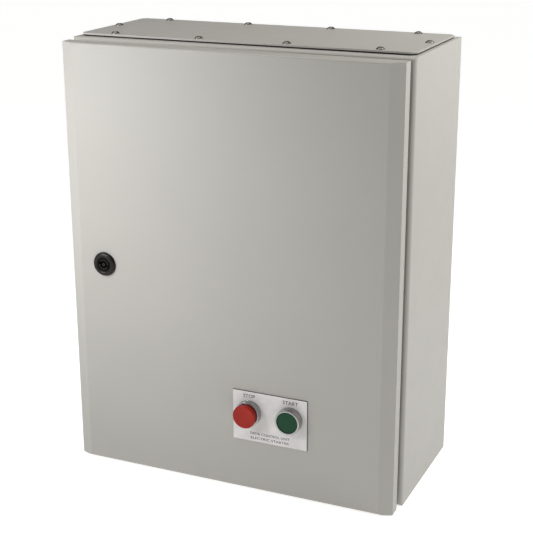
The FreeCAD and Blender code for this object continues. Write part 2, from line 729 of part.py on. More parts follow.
def mounting_panel():
    """Galvanised plate on four welded studs, held off the back by spacers."""
    body = new_body("mounting_plate")
    half_x, mid = S.panel_width / 2, S.body_height / 2
    half_z, cut = S.panel_height / 2, S.panel_corner
    outline = [(x, mid + z) for x, z in chamfered_rect(half_x, half_z, cut)]
    holes = [circle(x, z, S.stud_radius + 0.3) for x, z in stud_spots()]
    pad(body, "XZ", PANEL_FACE, S.panel_thick, outline, *holes)
    finish(body, "mounting_plate")
    inner = BACK - S.steel
    stud = join(rod((0, inner - S.stud_length, 0), "y", S.stud_length, S.stud_radius),
                rod((0, PANEL_BACK, 0), "y", S.panel_standoff, S.stud_radius * 2))
    repeat("panel_studs", stud, [(x, 0, z) for x, z in stud_spots()])
    nut = carve(hexagon((0, PANEL_FACE - S.nut_height, 0), S.nut_height, S.stud_radius * 1.87),
                rod((0, PANEL_FACE - S.nut_height - 1, 0), "y", S.nut_height + 2,
                    S.stud_radius))
    repeat("panel_nuts", nut, [(x, 0, z) for x, z in stud_spots()])


def din_rail():
    """Top-hat rail across the upper part of the plate."""
    body = new_body("din_rail")
    z, half, rise, skin = S.rail_z, S.rail_height / 2, S.rail_rise, S.rail_sheet
    web, face = S.rail_web / 2, PANEL_FACE
    front = face - rise
    outline = [(front, z - half), (front, z - web + skin), (face - skin, z - web + skin),
               (face - skin, z + web - skin), (front, z + web - skin), (front, z + half),
               (front + skin, z + half), (front + skin, z + web), (face, z + web),
               (face, z - web), (front + skin, z - web), (front + skin, z - half)]
    start = S.rail_x - S.rail_length / 2
    pad(body, "YZ", start, S.rail_length, outline)
    return finish(body, "din_rail")


def slot_level(index):
    """Middle height of one of the trunking's finger slots."""
    return S.trunk_bottom + S.trunk_first_slot + index * S.trunk_pitch


def trunking():
    """Slotted wiring trunking down the left of the plate, and its snap-on lid."""
    body = new_body("trunking")
    x0, x1 = S.trunk_x - S.trunk_width / 2, S.trunk_x + S.trunk_width / 2
    low, high, wall = S.trunk_bottom, S.trunk_top, S.trunk_wall
    front = PANEL_FACE - S.trunk_depth
    pad(body, "XY", low, high - low,
        [(x0, PANEL_FACE), (x0, front), (x0 + wall, front), (x0 + wall, PANEL_FACE - wall),
         (x1 - wall, PANEL_FACE - wall), (x1 - wall, front), (x1, front), (x1, PANEL_FACE)])
    floor, half_slot = PANEL_FACE - S.trunk_slot_floor, S.trunk_slot_height / 2
    slots = [rect(front - 1, slot_level(i) - half_slot, floor, slot_level(i) + half_slot)
             for i in range(int(S.trunk_slots))]
    pocket(body, "YZ", x0 - 1, S.trunk_width + 2, *slots)
    finish(body, "trunking")
    lid = new_body("trunking_lid")
    lip = front + S.lid_lip
    pad(lid, "XY", low, high - low,
        [(x0 - wall, lip), (x0 - wall, front - wall), (x1 + wall, front - wall),
         (x1 + wall, lip), (x1, lip), (x1, front), (x0, front), (x0, lip)])
    finish(lid, "trunking_lid")


# ---------------------------------------------------------------- contactor
def poles():
    return (S.contactor_x - S.pole_pitch, S.contactor_x, S.contactor_x + S.pole_pitch)


def magnet_outline(x, yoke, legs, tips):
    """E-shaped lamination outline in (x, y): yoke, legs root and leg tips."""
    outer, window, middle = S.magnet_width / 2, S.magnet_window, S.magnet_leg / 2
    return [(x - outer, yoke), (x - outer, tips), (x - window, tips), (x - window, legs),
            (x - middle, legs), (x - middle, tips), (x + middle, tips), (x + middle, legs),
            (x + window, legs), (x + window, tips), (x + outer, tips), (x + outer, yoke)]


def contactor_magnet():
    """Fixed core, moving armature, and the coil around the middle leg."""
    x, z, face = S.contactor_x, S.contactor_z, PANEL_FACE
    stack, yoke = S.magnet_stack / 2, S.magnet_yoke
    foot, meet, back = face - S.base_floor, face - S.magnet_meet, face - S.armature_level
    root = foot - yoke
    core = new_body("contactor_core")
    pad(core, "XY", z - stack, S.magnet_stack, magnet_outline(x, foot, root, meet))
    finish(core, "contactor_core")
    armature = new_body("contactor_armature")
    pad(armature, "XY", z - stack, S.magnet_stack,
        magnet_outline(x, back, back + yoke, meet - S.contactor_travel - CLOSED_GAP))
    finish(armature, "contactor_armature")
    half_x, half_z = S.coil_width / 2, S.coil_height / 2
    leg, slack, short = S.magnet_leg / 2, 0.3, 1.2
    coil = carve(block((x - half_x, meet + short, z - half_z), (x + half_x, root - 0.2, z + half_z)),
                 block((x - leg - slack, meet, z - stack - slack),
                       (x + leg + slack, root + 1, z + stack + slack)))
    finish(coil, "contactor_coil")


def contactor_housing():
    """Base with foot flanges and spring posts, and the cover over the contacts."""
    x, z, face, half = S.contactor_x, S.contactor_z, PANEL_FACE, S.contactor_half
    wall, seam, floor = S.case_wall, face - S.case_seam, face - S.base_floor
    tall, foot, foot_face = S.base_height / 2, S.foot_height / 2, face - S.foot_thick
    narrow = half - 5
    base = join(block((x - half, seam, z - tall), (x + half, face, z + tall)),
                block((x - narrow, foot_face, z - foot), (x + narrow, face, z + foot)))
    cavity = block((x - half + wall, seam - 1, z - tall + wall),
                   (x + half - wall, floor, z + tall - wall))
    posts = [rod((x + side * S.return_spring_x, floor - S.post_height, z), "y",
                 S.post_height, S.post_radius) for side in (-1, 1)]
    holes = [rod((x + side * S.foot_hole_x, foot_face - 1, z + end * S.foot_hole_z), "y",
                 S.foot_thick + 2, S.foot_hole) for side in (-1, 1) for end in (-1, 1)]
    finish(join(carve(base, cavity, *holes), *posts), "contactor_base")
    front, shelf, bar = face - S.cover_depth, face - S.shelf_level, face - S.bar_level
    cover_half, shelf_half = S.cover_height / 2, S.shelf_height / 2
    cover = join(block((x - half, front, z - cover_half), (x + half, seam, z + cover_half)),
                 block((x - half, shelf, z - shelf_half), (x + half, seam, z + shelf_half)))
    fin, between = S.fin_thick / 2, S.pole_pitch / 2
    fins = [block((x + at - fin, face - S.fin_level, z - shelf_half),
                  (x + at + fin, shelf, z + shelf_half))
            for at in (fin - half, -between, between, half - fin)]
    hollow = block((x - half + wall, front + wall, z - cover_half + wall),
                   (x + half - wall, seam + 1, z + cover_half - wall))
    side, play = S.bar_half_width + 0.5, 0.2
    slots = [block((pole - side, bar - play, z - cover_half - 1),
                   (pole + side, bar + S.bar_thick + play, z + cover_half + 1))
             for pole in poles()]
    wide, high = S.flag_half_width + 0.4, S.flag_half_height + 1
    window = block((x - wide, front - 1, z - high), (x + wide, front + wall + 1, z + high))
    finish(carve(join(cover, *fins), hollow, window, *slots), "contactor_cover")


def contactor_contacts():
    """Carrier with three sprung bridges, six fixed contacts, screws and return springs."""
    x, z, face = S.contactor_x, S.contactor_z, PANEL_FACE
    yoke = face - S.armature_level
    neck = yoke - S.carrier_depth
    half_x, half_z = S.carrier_width / 2, S.carrier_height / 2
    wing_x, wing_z = S.wing_width / 2, S.wing_height / 2
    flag_x, flag_z = S.flag_half_width, S.flag_half_height
    carrier = join(block((x - half_x, neck, z - half_z), (x + half_x, yoke, z + half_z)),
                   block((x - wing_x, yoke - S.wing_depth, z - wing_z),
                         (x + wing_x, yoke, z + wing_z)),
                   block((x - flag_x, yoke - S.flag_depth, z - flag_z),
                         (x + flag_x, neck, z + flag_z)))
    level, thick, wide = yoke - S.bridge_level, S.bridge_thick, S.bridge_half_width
    passages = [block((pole - wide - 0.2, level - thick - 0.4, z - half_z - 1),
                      (pole + wide + 0.2, level, z + half_z + 1)) for pole in poles()]
    finish(carve(carrier, *passages), "contactor_carrier")
    bar_face = level - CLOSED_GAP
    tip_y = bar_face + S.tip_height + S.contactor_travel + CLOSED_GAP
    bar_low = face - S.bar_level
    side, half_slot = S.bar_half_width, 0.6
    bridges, fixed, screws = [], [], []
    for pole in poles():
        tips = [rod((pole, bar_face, z + end * S.tip_offset), "y", S.tip_height, S.tip_radius)
                for end in (-1, 1)]
        bridges.append(join(block((pole - wide, bar_face - thick, z - S.bridge_reach),
                                  (pole + wide, bar_face, z + S.bridge_reach)), *tips))
        for end in (-1, 1):
            near_z, far_z = z + end * S.bar_start, z + end * S.bar_end
            low_z, high_z = (near_z, far_z) if end > 0 else (far_z, near_z)
            clamp = z + end * S.clamp_offset
            bar = block((pole - side, bar_low, low_z), (pole + side, bar_low + S.bar_thick, high_z))
            tip = rod((pole, tip_y, z + end * S.tip_offset), "y", bar_low - tip_y, S.tip_radius)
            hole = rod((pole, bar_low - 1, clamp), "y", S.bar_thick + 2, S.clamp_hole)
            fixed.append(carve(join(bar, tip), hole))
            rise = S.clamp_head_rise
            head = join(rod((pole, bar_low - rise, clamp), "y", rise, S.clamp_head),
                        rod((pole, bar_low, clamp), "y", S.bar_thick + 0.4, S.clamp_hole - 0.1))
            slot = block((pole - 4, bar_low - rise - 1, clamp - half_slot),
                         (pole + 4, bar_low - rise + 1.4, clamp + half_slot))
            screws.append(carve(head, slot))
    DOC.recompute()
    group("contactor_bridges", [item.Shape for item in bridges])
    group("contactor_fixed_contacts", [item.Shape for item in fixed])
    group("contactor_terminal_screws", [item.Shape for item in screws])
    spring = tube((x + S.return_spring_x, yoke, z), "y", S.return_spring_length, 3, 2.2)
    repeat("contactor_springs", spring, [(0, 0, 0), (-2 * S.return_spring_x, 0, 0)])


# ---------------------------------------------------------------- overload relay
def overload():
    """Housing with its setting dial, two buttons, bimetals, terminals and link bars."""
    x, face, half = S.contactor_x, PANEL_FACE, S.overload_half
    low, high = S.overload_bottom, S.overload_top
    front, shelf, step = face - S.overload_depth, face - S.overload_shelf, low + S.overload_step
    wall, skin = S.overload_wall, S.overload_front_wall
    bar = face - S.bar_level
    shell = join(block((x - half, front, step), (x + half, face, high)),
                 block((x - half, shelf, low), (x + half, face, step)))
    hollow = block((x - half + wall, front + skin, step + wall),
                   (x + half - wall, face + 1, high - wall))
    openings = [block((pole - 6, bar - 2.4, high - wall - 1), (pole + 6, bar + 2.2, high + 1))
                for pole in poles()]
    exits = [block((pole - 5.6, bar - 1.2, step - 6), (pole + 5.6, bar + 2.2, step + 4))
             for pole in poles()]
    row = high - S.setting_row
    reset_x, test_x = x - S.setting_pitch, x + S.setting_pitch
    holes = [rod((at, front - 1, row), "y", skin + 2, radius + 0.1)
             for at, radius in ((x, S.dial_radius), (reset_x, S.reset_radius),
                                (test_x, S.test_radius))]
    fin, between = S.fin_thick / 2, S.pole_pitch / 2
    fins = [block((x + at - fin, face - S.overload_fin_level, low),
                  (x + at + fin, shelf + 1, step + 1))
            for at in (fin - half, -between, between, half - fin)]
    finish(carve(join(shell, *fins), hollow, *openings, *exits, *holes), "overload_housing")
    flange_y, flange = front + skin + 0.2, 2.5
    dial = carve(join(rod((x, front - 1.5, row), "y", 8, S.dial_radius),
                      rod((x, flange_y, row), "y", flange, S.dial_radius + 2)),
                 block((x - 6, front - 2, row - 1), (x + 6, front, row + 1)))
    finish(dial, "overload_dial")
    for label, at, radius, rise in (("overload_reset_button", reset_x, S.reset_radius, 5),
                                    ("overload_test_button", test_x, S.test_radius, 2.5)):
        finish(join(rod((at, front - rise, row), "y", rise + 8, radius),
                    rod((at, flange_y, row), "y", flange, radius + 1.5)), label)
    link_top = S.contactor_z - S.base_height / 2 - 0.7
    links, tails, strips, screws = [], [], [], []
    for pole in poles():
        links.append(block((pole - 4, bar - 2, high - 16), (pole + 4, bar, link_top)))
        tails.append(block((pole - 5, bar - 1, low + 2), (pole + 5, bar + 1, low + 30)))
        strips.append(block((pole - 4, bar + 1, low + 24), (pole + 4, bar + 2, high - 8)))
        screws.append(rod((pole, bar - 5.2, low + 8), "y", 4.2, 4))
    DOC.recompute()
    group("overload_link_bars", [item.Shape for item in links])
    group("overload_terminals", [item.Shape for item in tails])
    group("overload_bimetals", [item.Shape for item in strips])
    group("overload_screws", [item.Shape for item in screws])


# ---------------------------------------------------------------- rail-mounted devices
def breaker():
    """Single-pole control breaker with its toggle, clipped on the rail."""
    x, z, half = S.breaker_x, S.rail_z, S.breaker_width / 2
    back = PANEL_FACE - S.rail_rise
    front, nose = back - S.breaker_depth, back - S.breaker_nose_depth
    tall, nose_half = S.breaker_height / 2, S.breaker_nose / 2
    shell = join(block((x - half, front, z - tall), (x + half, back, z + tall)),
                 block((x - half, nose, z - nose_half), (x + half, front, z + nose_half)))
    slot = block((x - 3.5, nose - 1, z - 12), (x + 3.5, front + 2, z + 12))
    wells = [rod((x, front - 1, z + end * (tall - 8)), "y", 8, 3) for end in (-1, 1)]
    finish(carve(shell, slot, *wells), "breaker_housing")
    pivot, half_toggle = back - S.toggle_level, 3.2
    toggle = join(rod((x - half_toggle, pivot, z), "x", half_toggle * 2, S.toggle_radius),
                  block((x - half_toggle, back - S.toggle_reach, z - 11),
                        (x + half_toggle, pivot, z - 4)))
    finish(toggle, "breaker_toggle")


def terminal(x):
    """One feed-through terminal: stepped body, two screw wells and two wire throats."""
    z, back = S.rail_z, PANEL_FACE - S.rail_rise
    wide = S.terminal_width - 0.3
    shoulder, nose = back - S.terminal_shoulder, back - S.terminal_depth
    tall, nose_half = S.terminal_height / 2, S.terminal_nose / 2
    shell = join(block((x, shoulder, z - tall), (x + wide, back, z + tall)),
                 block((x, nose, z - nose_half), (x + wide, shoulder, z + nose_half)))
    mid = x + wide / 2
    wells = [rod((mid, shoulder - 1, z + end * 19), "y", 10, 2.8) for end in (-1, 1)]
    throats = [rod((mid, back - THROAT_LEVEL, z + at), "z", 12, S.power_lead_radius + 0.2)
               for at in (-tall - 1, tall - 11)]
    return carve(shell, *wells, *throats)


def terminal_row():
    """Six grey feed-through terminals, and a green and yellow earth terminal beside them."""
    start, width = S.terminal_x, S.terminal_width
    repeat("terminal_blocks", terminal(start),
           [(i * width, 0, 0) for i in range(int(S.terminal_count))])
    finish(terminal(start + S.terminal_count * width), "earth_terminal")


# ---------------------------------------------------------------- wiring
def power_leads():
    """Supply leads down to the contactor, motor leads back up through the trunking."""
    face, radius = PANEL_FACE, S.power_lead_radius
    feed_y = face - S.rail_rise - THROAT_LEVEL
    top_z = S.rail_z - S.terminal_height / 2 + 6
    clamp_z = S.contactor_z + S.base_height / 2 + 0.8
    bar = face - S.bar_level
    clamp_y, out_y = bar - radius, bar - 1 - radius
    first = S.terminal_x + S.terminal_width / 2 - 0.15
    leads = []
    for index, pole in enumerate(poles()):
        x = first + (3 + index) * S.terminal_width
        leads.append(lead([(x, feed_y, top_z), (x, feed_y, top_z - 10),
                           (pole, clamp_y, clamp_z + 16), (pole, clamp_y, clamp_z)], radius))
    start = S.overload_bottom + 3.9
    beside = S.trunk_x + S.trunk_width / 2 + 19
    for index, pole in enumerate(poles()):
        x = first + index * S.terminal_width
        deep = face - 18 - index * 9
        low, high = slot_level(6 - index), slot_level(25 - index)
        inside = S.trunk_x - 8 + index * 5
        leads.append(lead([(pole, out_y, start), (pole, out_y, start - 12),
                           (pole - 12, (out_y + deep) / 2, low), (beside, deep, low),
                           (inside, deep, low), (inside, deep, high),
                           (beside, deep, high), (x, feed_y, high), (x, feed_y, top_z)],
                          radius))
    return group("power_leads", leads)


def door_leads():
    """Control loom and earth lead that cross the hinge between plate and door."""
    entry = DOOR_INNER + S.barrel_length + S.block_depth - 20
    side = START_X + S.block_width / 2
    z = S.button_z
    target, relay_y = S.contactor_x + S.overload_half, 58
    loom = lead([(side, entry, z - 10), (side + 16, entry, z - 10), (side + 38, -84, z - 20),
                 (150, -96, z - 26), (165, -88, z - 20), (170, -60, z - 8), (168, -20, z + 4),
                 (158, 20, z + 20), (136, 46, z + 50), (100, relay_y, z + 86),
                 (60, relay_y, z + 98), (target, relay_y, z + 98)], S.loom_radius)
    level, wall_y = 45, -30
    earth = lead([(150, DOOR_INNER, level), (150, -103, level), (165, -92, level + 5),
                  (171, -66, level + 9), (178, -40, level + 7), (188, wall_y, level + 3),
                  (S.body_width / 2 - S.steel, wall_y, level + 3)], S.power_lead_radius)
    return group("door_leads", [loom, earth])


# ---------------------------------------------------------------- build, check and write
def check_document():
    """Stop if anything failed to build, or a sub-part is not a valid solid."""
    DOC.recompute()
    for obj in DOC.Objects:
        if {"Invalid", "Error"} & set(obj.State):
            raise RuntimeError(f"{obj.Name}: {obj.State}")
    for part in SUB_PARTS:
        shape = part.Shape
        if shape.isNull() or not shape.isValid() or not shape.Solids:
            raise RuntimeError(f"{part.Label}: not a valid solid")
        for solid in shape.Solids:
            if not solid.isValid() or solid.Volume <= 0:
                raise RuntimeError(f"{part.Label}: bad solid")


def main():
    enclosure_body()
    gland_parts()
    door()
    door_gasket()
    hinge("hinge_upper", S.hinge_upper)
    hinge("hinge_lower", S.hinge_lower)
    lock()
    legend_plate()
    button("stop", STOP_X, S.stop_bezel_rise, stop_outline)
    button("start", START_X, S.start_bezel_rise, start_outline)
    mounting_panel()
    din_rail()
    trunking()
    contactor_magnet()
    contactor_housing()
    contactor_contacts()
    overload()
    breaker()
    terminal_row()
    power_leads()
    door_leads()
    check_document()
    os.makedirs("parts", exist_ok=True)
    for part in SUB_PARTS:
        part.Shape.exportStep(f"parts/{part.Label}.step")
        print(f"{part.Label:28s} {len(part.Shape.Solids):3d} solids {part.Shape.Volume:12.1f} mm3")
    print(len(SUB_PARTS), "nodes")


main()
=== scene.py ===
import json
import math

import bmesh
import bpy
from mathutils import Matrix, Vector


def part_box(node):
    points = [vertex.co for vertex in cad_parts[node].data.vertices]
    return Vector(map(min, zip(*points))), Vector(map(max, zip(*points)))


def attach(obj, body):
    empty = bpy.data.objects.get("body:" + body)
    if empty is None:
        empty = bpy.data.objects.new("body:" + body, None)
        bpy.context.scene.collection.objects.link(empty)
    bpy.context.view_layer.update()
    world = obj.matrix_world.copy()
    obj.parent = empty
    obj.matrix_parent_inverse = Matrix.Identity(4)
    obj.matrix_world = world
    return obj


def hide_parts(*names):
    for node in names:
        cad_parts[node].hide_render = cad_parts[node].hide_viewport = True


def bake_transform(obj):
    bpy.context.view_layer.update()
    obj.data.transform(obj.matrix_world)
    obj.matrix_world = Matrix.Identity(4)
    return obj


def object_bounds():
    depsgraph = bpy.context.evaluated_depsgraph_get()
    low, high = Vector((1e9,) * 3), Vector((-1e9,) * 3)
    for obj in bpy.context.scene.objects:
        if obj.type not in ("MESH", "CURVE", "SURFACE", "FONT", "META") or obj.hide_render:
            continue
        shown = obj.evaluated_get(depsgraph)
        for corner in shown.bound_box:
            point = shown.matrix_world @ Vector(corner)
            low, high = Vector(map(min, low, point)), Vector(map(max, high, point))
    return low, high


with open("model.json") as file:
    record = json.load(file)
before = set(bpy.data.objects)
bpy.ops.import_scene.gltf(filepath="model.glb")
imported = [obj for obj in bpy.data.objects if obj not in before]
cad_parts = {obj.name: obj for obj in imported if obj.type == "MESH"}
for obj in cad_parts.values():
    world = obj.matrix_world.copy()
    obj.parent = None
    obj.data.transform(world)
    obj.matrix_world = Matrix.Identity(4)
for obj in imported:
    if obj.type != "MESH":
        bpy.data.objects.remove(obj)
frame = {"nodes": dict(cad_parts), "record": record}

CAD_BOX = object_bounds()
NODES = frame["nodes"]
BODY_OF = {node: body for body, members in frame["record"]["behaviour"]["bodies"].items()
           for node in members}
SLOT_OF = {part["node"]: part["material_slot"] for part in frame["record"]["subparts"]}
MM = 0.001


# ---------------------------------------------------------------- node-graph helpers
class Graph:
    """A material's node tree with short calls for the nodes that repeat."""

    def __init__(self, name, roughness, metallic=0.0, specular=0.5):
        self.material = bpy.data.materials.new(name)
        self.material.use_nodes = True
        self.tree = self.material.node_tree
        self.shader = self.tree.nodes["Principled BSDF"]
        self.shader.inputs["Roughness"].default_value = roughness
        self.shader.inputs["Metallic"].default_value = metallic
        self.shader.inputs["Specular IOR Level"].default_value = specular
        self.place = self.add("ShaderNodeTexCoord").outputs["Object"]

    def add(self, kind, **settings):
        node = self.tree.nodes.new(kind)
        for name, value in settings.items():
            setattr(node, name, value)
        return node

    def link(self, source, target):
        self.tree.links.new(source, target)

    def noise(self, scale, detail=3.0, rough=0.55, stretch=None):
        """Noise in the piece's own metres; stretch squeezes it along x, y and z."""
        node = self.add("ShaderNodeTexNoise")
        node.inputs["Scale"].default_value = scale
        node.inputs["Detail"].default_value = detail
        node.inputs["Roughness"].default_value = rough
        source = self.place
        if stretch:
            mapping = self.add("ShaderNodeMapping")
            mapping.inputs["Scale"].default_value = stretch
            self.link(self.place, mapping.inputs["Vector"])
            source = mapping.outputs["Vector"]
        self.link(source, node.inputs["Vector"])
        return node.outputs["Fac"]

    def ramp(self, factor, stops):
        """A colour ramp from (position, colour) stops."""
        node = self.add("ShaderNodeValToRGB")
        elements = node.color_ramp.elements
        while len(elements) < len(stops):
            elements.new(0.5)
        for element, (position, colour) in zip(elements, stops):
            element.position = position
            element.color = (*colour, 1.0)
        self.link(factor, node.inputs["Fac"])
        return node.outputs["Color"]

    def span(self, factor, low, high):
        """Map 0..1 to low..high."""
        node = self.add("ShaderNodeMapRange")
        node.inputs["To Min"].default_value = low
        node.inputs["To Max"].default_value = high
        self.link(factor, node.inputs["Value"])
        return node.outputs["Result"]

    def mix(self, factor, first, second):
        node = self.add("ShaderNodeMix", data_type="RGBA")
        self.link(factor, node.inputs["Factor"])
        for socket, value in ((node.inputs["A"], first), (node.inputs["B"], second)):
            if isinstance(value, tuple):
                socket.default_value = (*value, 1.0)
            else:
                self.link(value, socket)
        return node.outputs["Result"]

    def edge_mask(self, radius, gain):
        """1 along sharp edges, 0 on flats: where the rounded normal leaves the true one."""
        rounded = self.add("ShaderNodeBevel", samples=4)
        rounded.inputs["Radius"].default_value = radius
        true = self.add("ShaderNodeNewGeometry")
        dot = self.add("ShaderNodeVectorMath", operation="DOT_PRODUCT")
        self.link(rounded.outputs["Normal"], dot.inputs[0])
        self.link(true.outputs["Normal"], dot.inputs[1])
        lack = self.add("ShaderNodeMath", operation="SUBTRACT", use_clamp=True)
        lack.inputs[0].default_value = 1.0
        self.link(dot.outputs["Value"], lack.inputs[1])
        boost = self.add("ShaderNodeMath", operation="MULTIPLY", use_clamp=True)
        boost.inputs[1].default_value = gain
        self.link(lack.outputs["Value"], boost.inputs[0])
        return boost.outputs["Value"]

    def bump(self, height, strength, distance):
        node = self.add("ShaderNodeBump")
        node.inputs["Strength"].default_value = strength
        node.inputs["Distance"].default_value = distance
        self.link(height, node.inputs["Height"])
        self.link(node.outputs["Normal"], self.shader.inputs["Normal"])

    def colour(self, source):
        if isinstance(source, tuple):
            self.shader.inputs["Base Color"].default_value = (*source, 1.0)
        else:
            self.link(source, self.shader.inputs["Base Color"])

    def roughness(self, source):
        self.link(source, self.shader.inputs["Roughness"])


def tint(colour, factor):
    return tuple(channel * factor for channel in colour)


# ---------------------------------------------------------------- materials
def powder_coat(name, colour):
    """Satin powder coat: fine orange peel, faint cloudiness, paint thinning on edges."""
    graph = Graph(name, roughness=0.42, specular=0.45)
    cloud = graph.noise(scale=9.0, detail=4.0)
    speck = graph.noise(scale=1400.0, detail=2.0)
    base = graph.ramp(cloud, [(0.3, tint(colour, 0.985)), (0.7, tint(colour, 1.015))])
    fleck = graph.ramp(speck, [(0.25, (0.93, 0.93, 0.93)), (0.45, (1.0, 1.0, 1.0))])
    speckled = graph.add("ShaderNodeMix", data_type="RGBA", blend_type="MULTIPLY")
    speckled.inputs["Factor"].default_value = 0.6
    graph.link(base, speckled.inputs["A"])
    graph.link(fleck, speckled.inputs["B"])
    worn = graph.mix(graph.edge_mask(radius=0.0012, gain=0.5), speckled.outputs["Result"],
                     tint(colour, 1.07))
    graph.colour(worn)
    graph.roughness(graph.span(graph.noise(scale=60.0, detail=3.0), low=0.36, high=0.48))
    graph.bump(graph.noise(scale=620.0, detail=2.5, rough=0.5), strength=0.22, distance=0.0004)
    return graph.material


def plated_steel(name, colour, rough=0.3, scale=700.0, edge=1.2):
    """Zinc-plated steel: mottled brightness, fine scratches, brighter edges; a high edge gain turns
    the brighter edges into a painted rim highlight.
    """
    graph = Graph(name, roughness=rough, metallic=1.0)
    mottled = graph.ramp(graph.noise(scale=320.0, detail=4.0),
                         [(0.3, tint(colour, 0.82)), (0.7, tint(colour, 1.08))])
    # The edge mask lightens the colour along edges by the edge gain; on the screws this is a
    # painted rim highlight.
    graph.colour(graph.mix(graph.edge_mask(radius=0.0004, gain=1.2), mottled, tint(colour, edge)))
    graph.roughness(graph.span(graph.noise(scale=scale, detail=3.0), low=rough * 0.75,
                               high=rough * 1.35))
    graph.bump(graph.noise(scale=scale * 1.6, detail=2.0), strength=0.12, distance=0.0001)
    return graph.material


def galvanised(name, colour):
    """Galvanised sheet with crystal spangle."""
    graph = Graph(name, roughness=0.42, metallic=0.9)
    cells = graph.add("ShaderNodeTexVoronoi")
    cells.inputs["Scale"].default_value = 95.0
    graph.link(graph.place, cells.inputs["Vector"])
    spangle = graph.ramp(cells.outputs["Color"],
                         [(0.2, tint(colour, 0.86)), (0.8, tint(colour, 1.1))])
    graph.colour(spangle)
    graph.roughness(graph.span(cells.outputs["Distance"], low=0.36, high=0.5))
    graph.bump(graph.noise(scale=500.0, detail=3.0), strength=0.1, distance=0.0002)
    return graph.material


def turned_metal(name, colour, rough):
    """Satin chrome: very fine circular brushing and a soft sheen."""
    graph = Graph(name, roughness=rough, metallic=1.0)
    brushed = graph.noise(scale=900.0, detail=2.0, stretch=(1.0, 14.0, 1.0))
    graph.colour(graph.ramp(brushed, [(0.3, tint(colour, 0.93)), (0.7, tint(colour, 1.04))]))
    graph.roughness(graph.span(brushed, low=rough * 0.8, high=rough * 1.3))
    graph.bump(brushed, strength=0.08, distance=0.00008)
    return graph.material


def moulded(name, colour, rough=0.5, specular=0.45):
    """Moulded plastic: fine spark texture, slight tone change and polished edges."""
    graph = Graph(name, roughness=rough, specular=specular)
    body = graph.ramp(graph.noise(scale=45.0, detail=3.0),
                      [(0.3, tint(colour, 0.94)), (0.7, tint(colour, 1.05))])
    graph.colour(graph.mix(graph.edge_mask(radius=0.0004, gain=0.7), body, tint(colour, 1.3)))
    graph.roughness(graph.span(graph.noise(scale=130.0, detail=3.0), low=rough * 0.85,
                               high=rough * 1.2))
    graph.bump(graph.noise(scale=1100.0, detail=2.0), strength=0.16, distance=0.00012)
    return graph.material


def gloss_plastic(name, colour, rough=0.24, specular=0.5):
    """Polished coloured plastic with faint moulding flow and hairline scratches."""
    graph = Graph(name, roughness=rough, specular=specular)
    flow = graph.noise(scale=70.0, detail=3.0)
    graph.colour(graph.ramp(flow, [(0.3, tint(colour, 0.93)), (0.7, tint(colour, 1.07))]))
    scratch = graph.noise(scale=900.0, detail=4.0, stretch=(1.0, 1.0, 7.0))
    graph.roughness(graph.span(scratch, low=rough * 0.8, high=rough * 1.5))
    graph.bump(scratch, strength=0.05, distance=0.00006)
    return graph.material


def foam(name, colour):
    graph = Graph(name, roughness=0.85, specular=0.25)
    cells = graph.noise(scale=1500.0, detail=4.0)
    graph.colour(graph.ramp(cells, [(0.35, tint(colour, 0.6)), (0.65, tint(colour, 1.3))]))
    graph.roughness(graph.span(graph.noise(scale=80.0), low=0.78, high=0.92))
    graph.bump(cells, strength=0.5, distance=0.0003)
    return graph.material


def windings(name, colour):
    """Enamelled copper turns under clear tape: fine rings stacked along Y."""
    graph = Graph(name, roughness=0.34, metallic=0.85)
    wave = graph.add("ShaderNodeTexWave", wave_type="BANDS", bands_direction="Y")
    wave.inputs["Scale"].default_value = 420.0
    wave.inputs["Distortion"].default_value = 0.4
    graph.link(graph.place, wave.inputs["Vector"])
    graph.colour(graph.ramp(wave.outputs["Fac"],
                            [(0.0, tint(colour, 0.35)), (0.6, colour)]))
    graph.roughness(graph.span(graph.noise(scale=200.0), low=0.26, high=0.42))
    graph.bump(wave.outputs["Fac"], strength=0.6, distance=0.0003)
    return graph.material


def laminated(name, colour):
    """Magnet stampings: thin sheets stacked along Z."""
    graph = Graph(name, roughness=0.36, metallic=1.0)
    wave = graph.add("ShaderNodeTexWave", wave_type="BANDS", bands_direction="Z")
    wave.inputs["Scale"].default_value = 330.0
    graph.link(graph.place, wave.inputs["Vector"])
    graph.colour(graph.ramp(wave.outputs["Fac"],
                            [(0.05, tint(colour, 0.35)), (0.35, colour)]))
    graph.roughness(graph.span(graph.noise(scale=300.0), low=0.28, high=0.46))
    graph.bump(wave.outputs["Fac"], strength=0.35, distance=0.0002)
    return graph.material


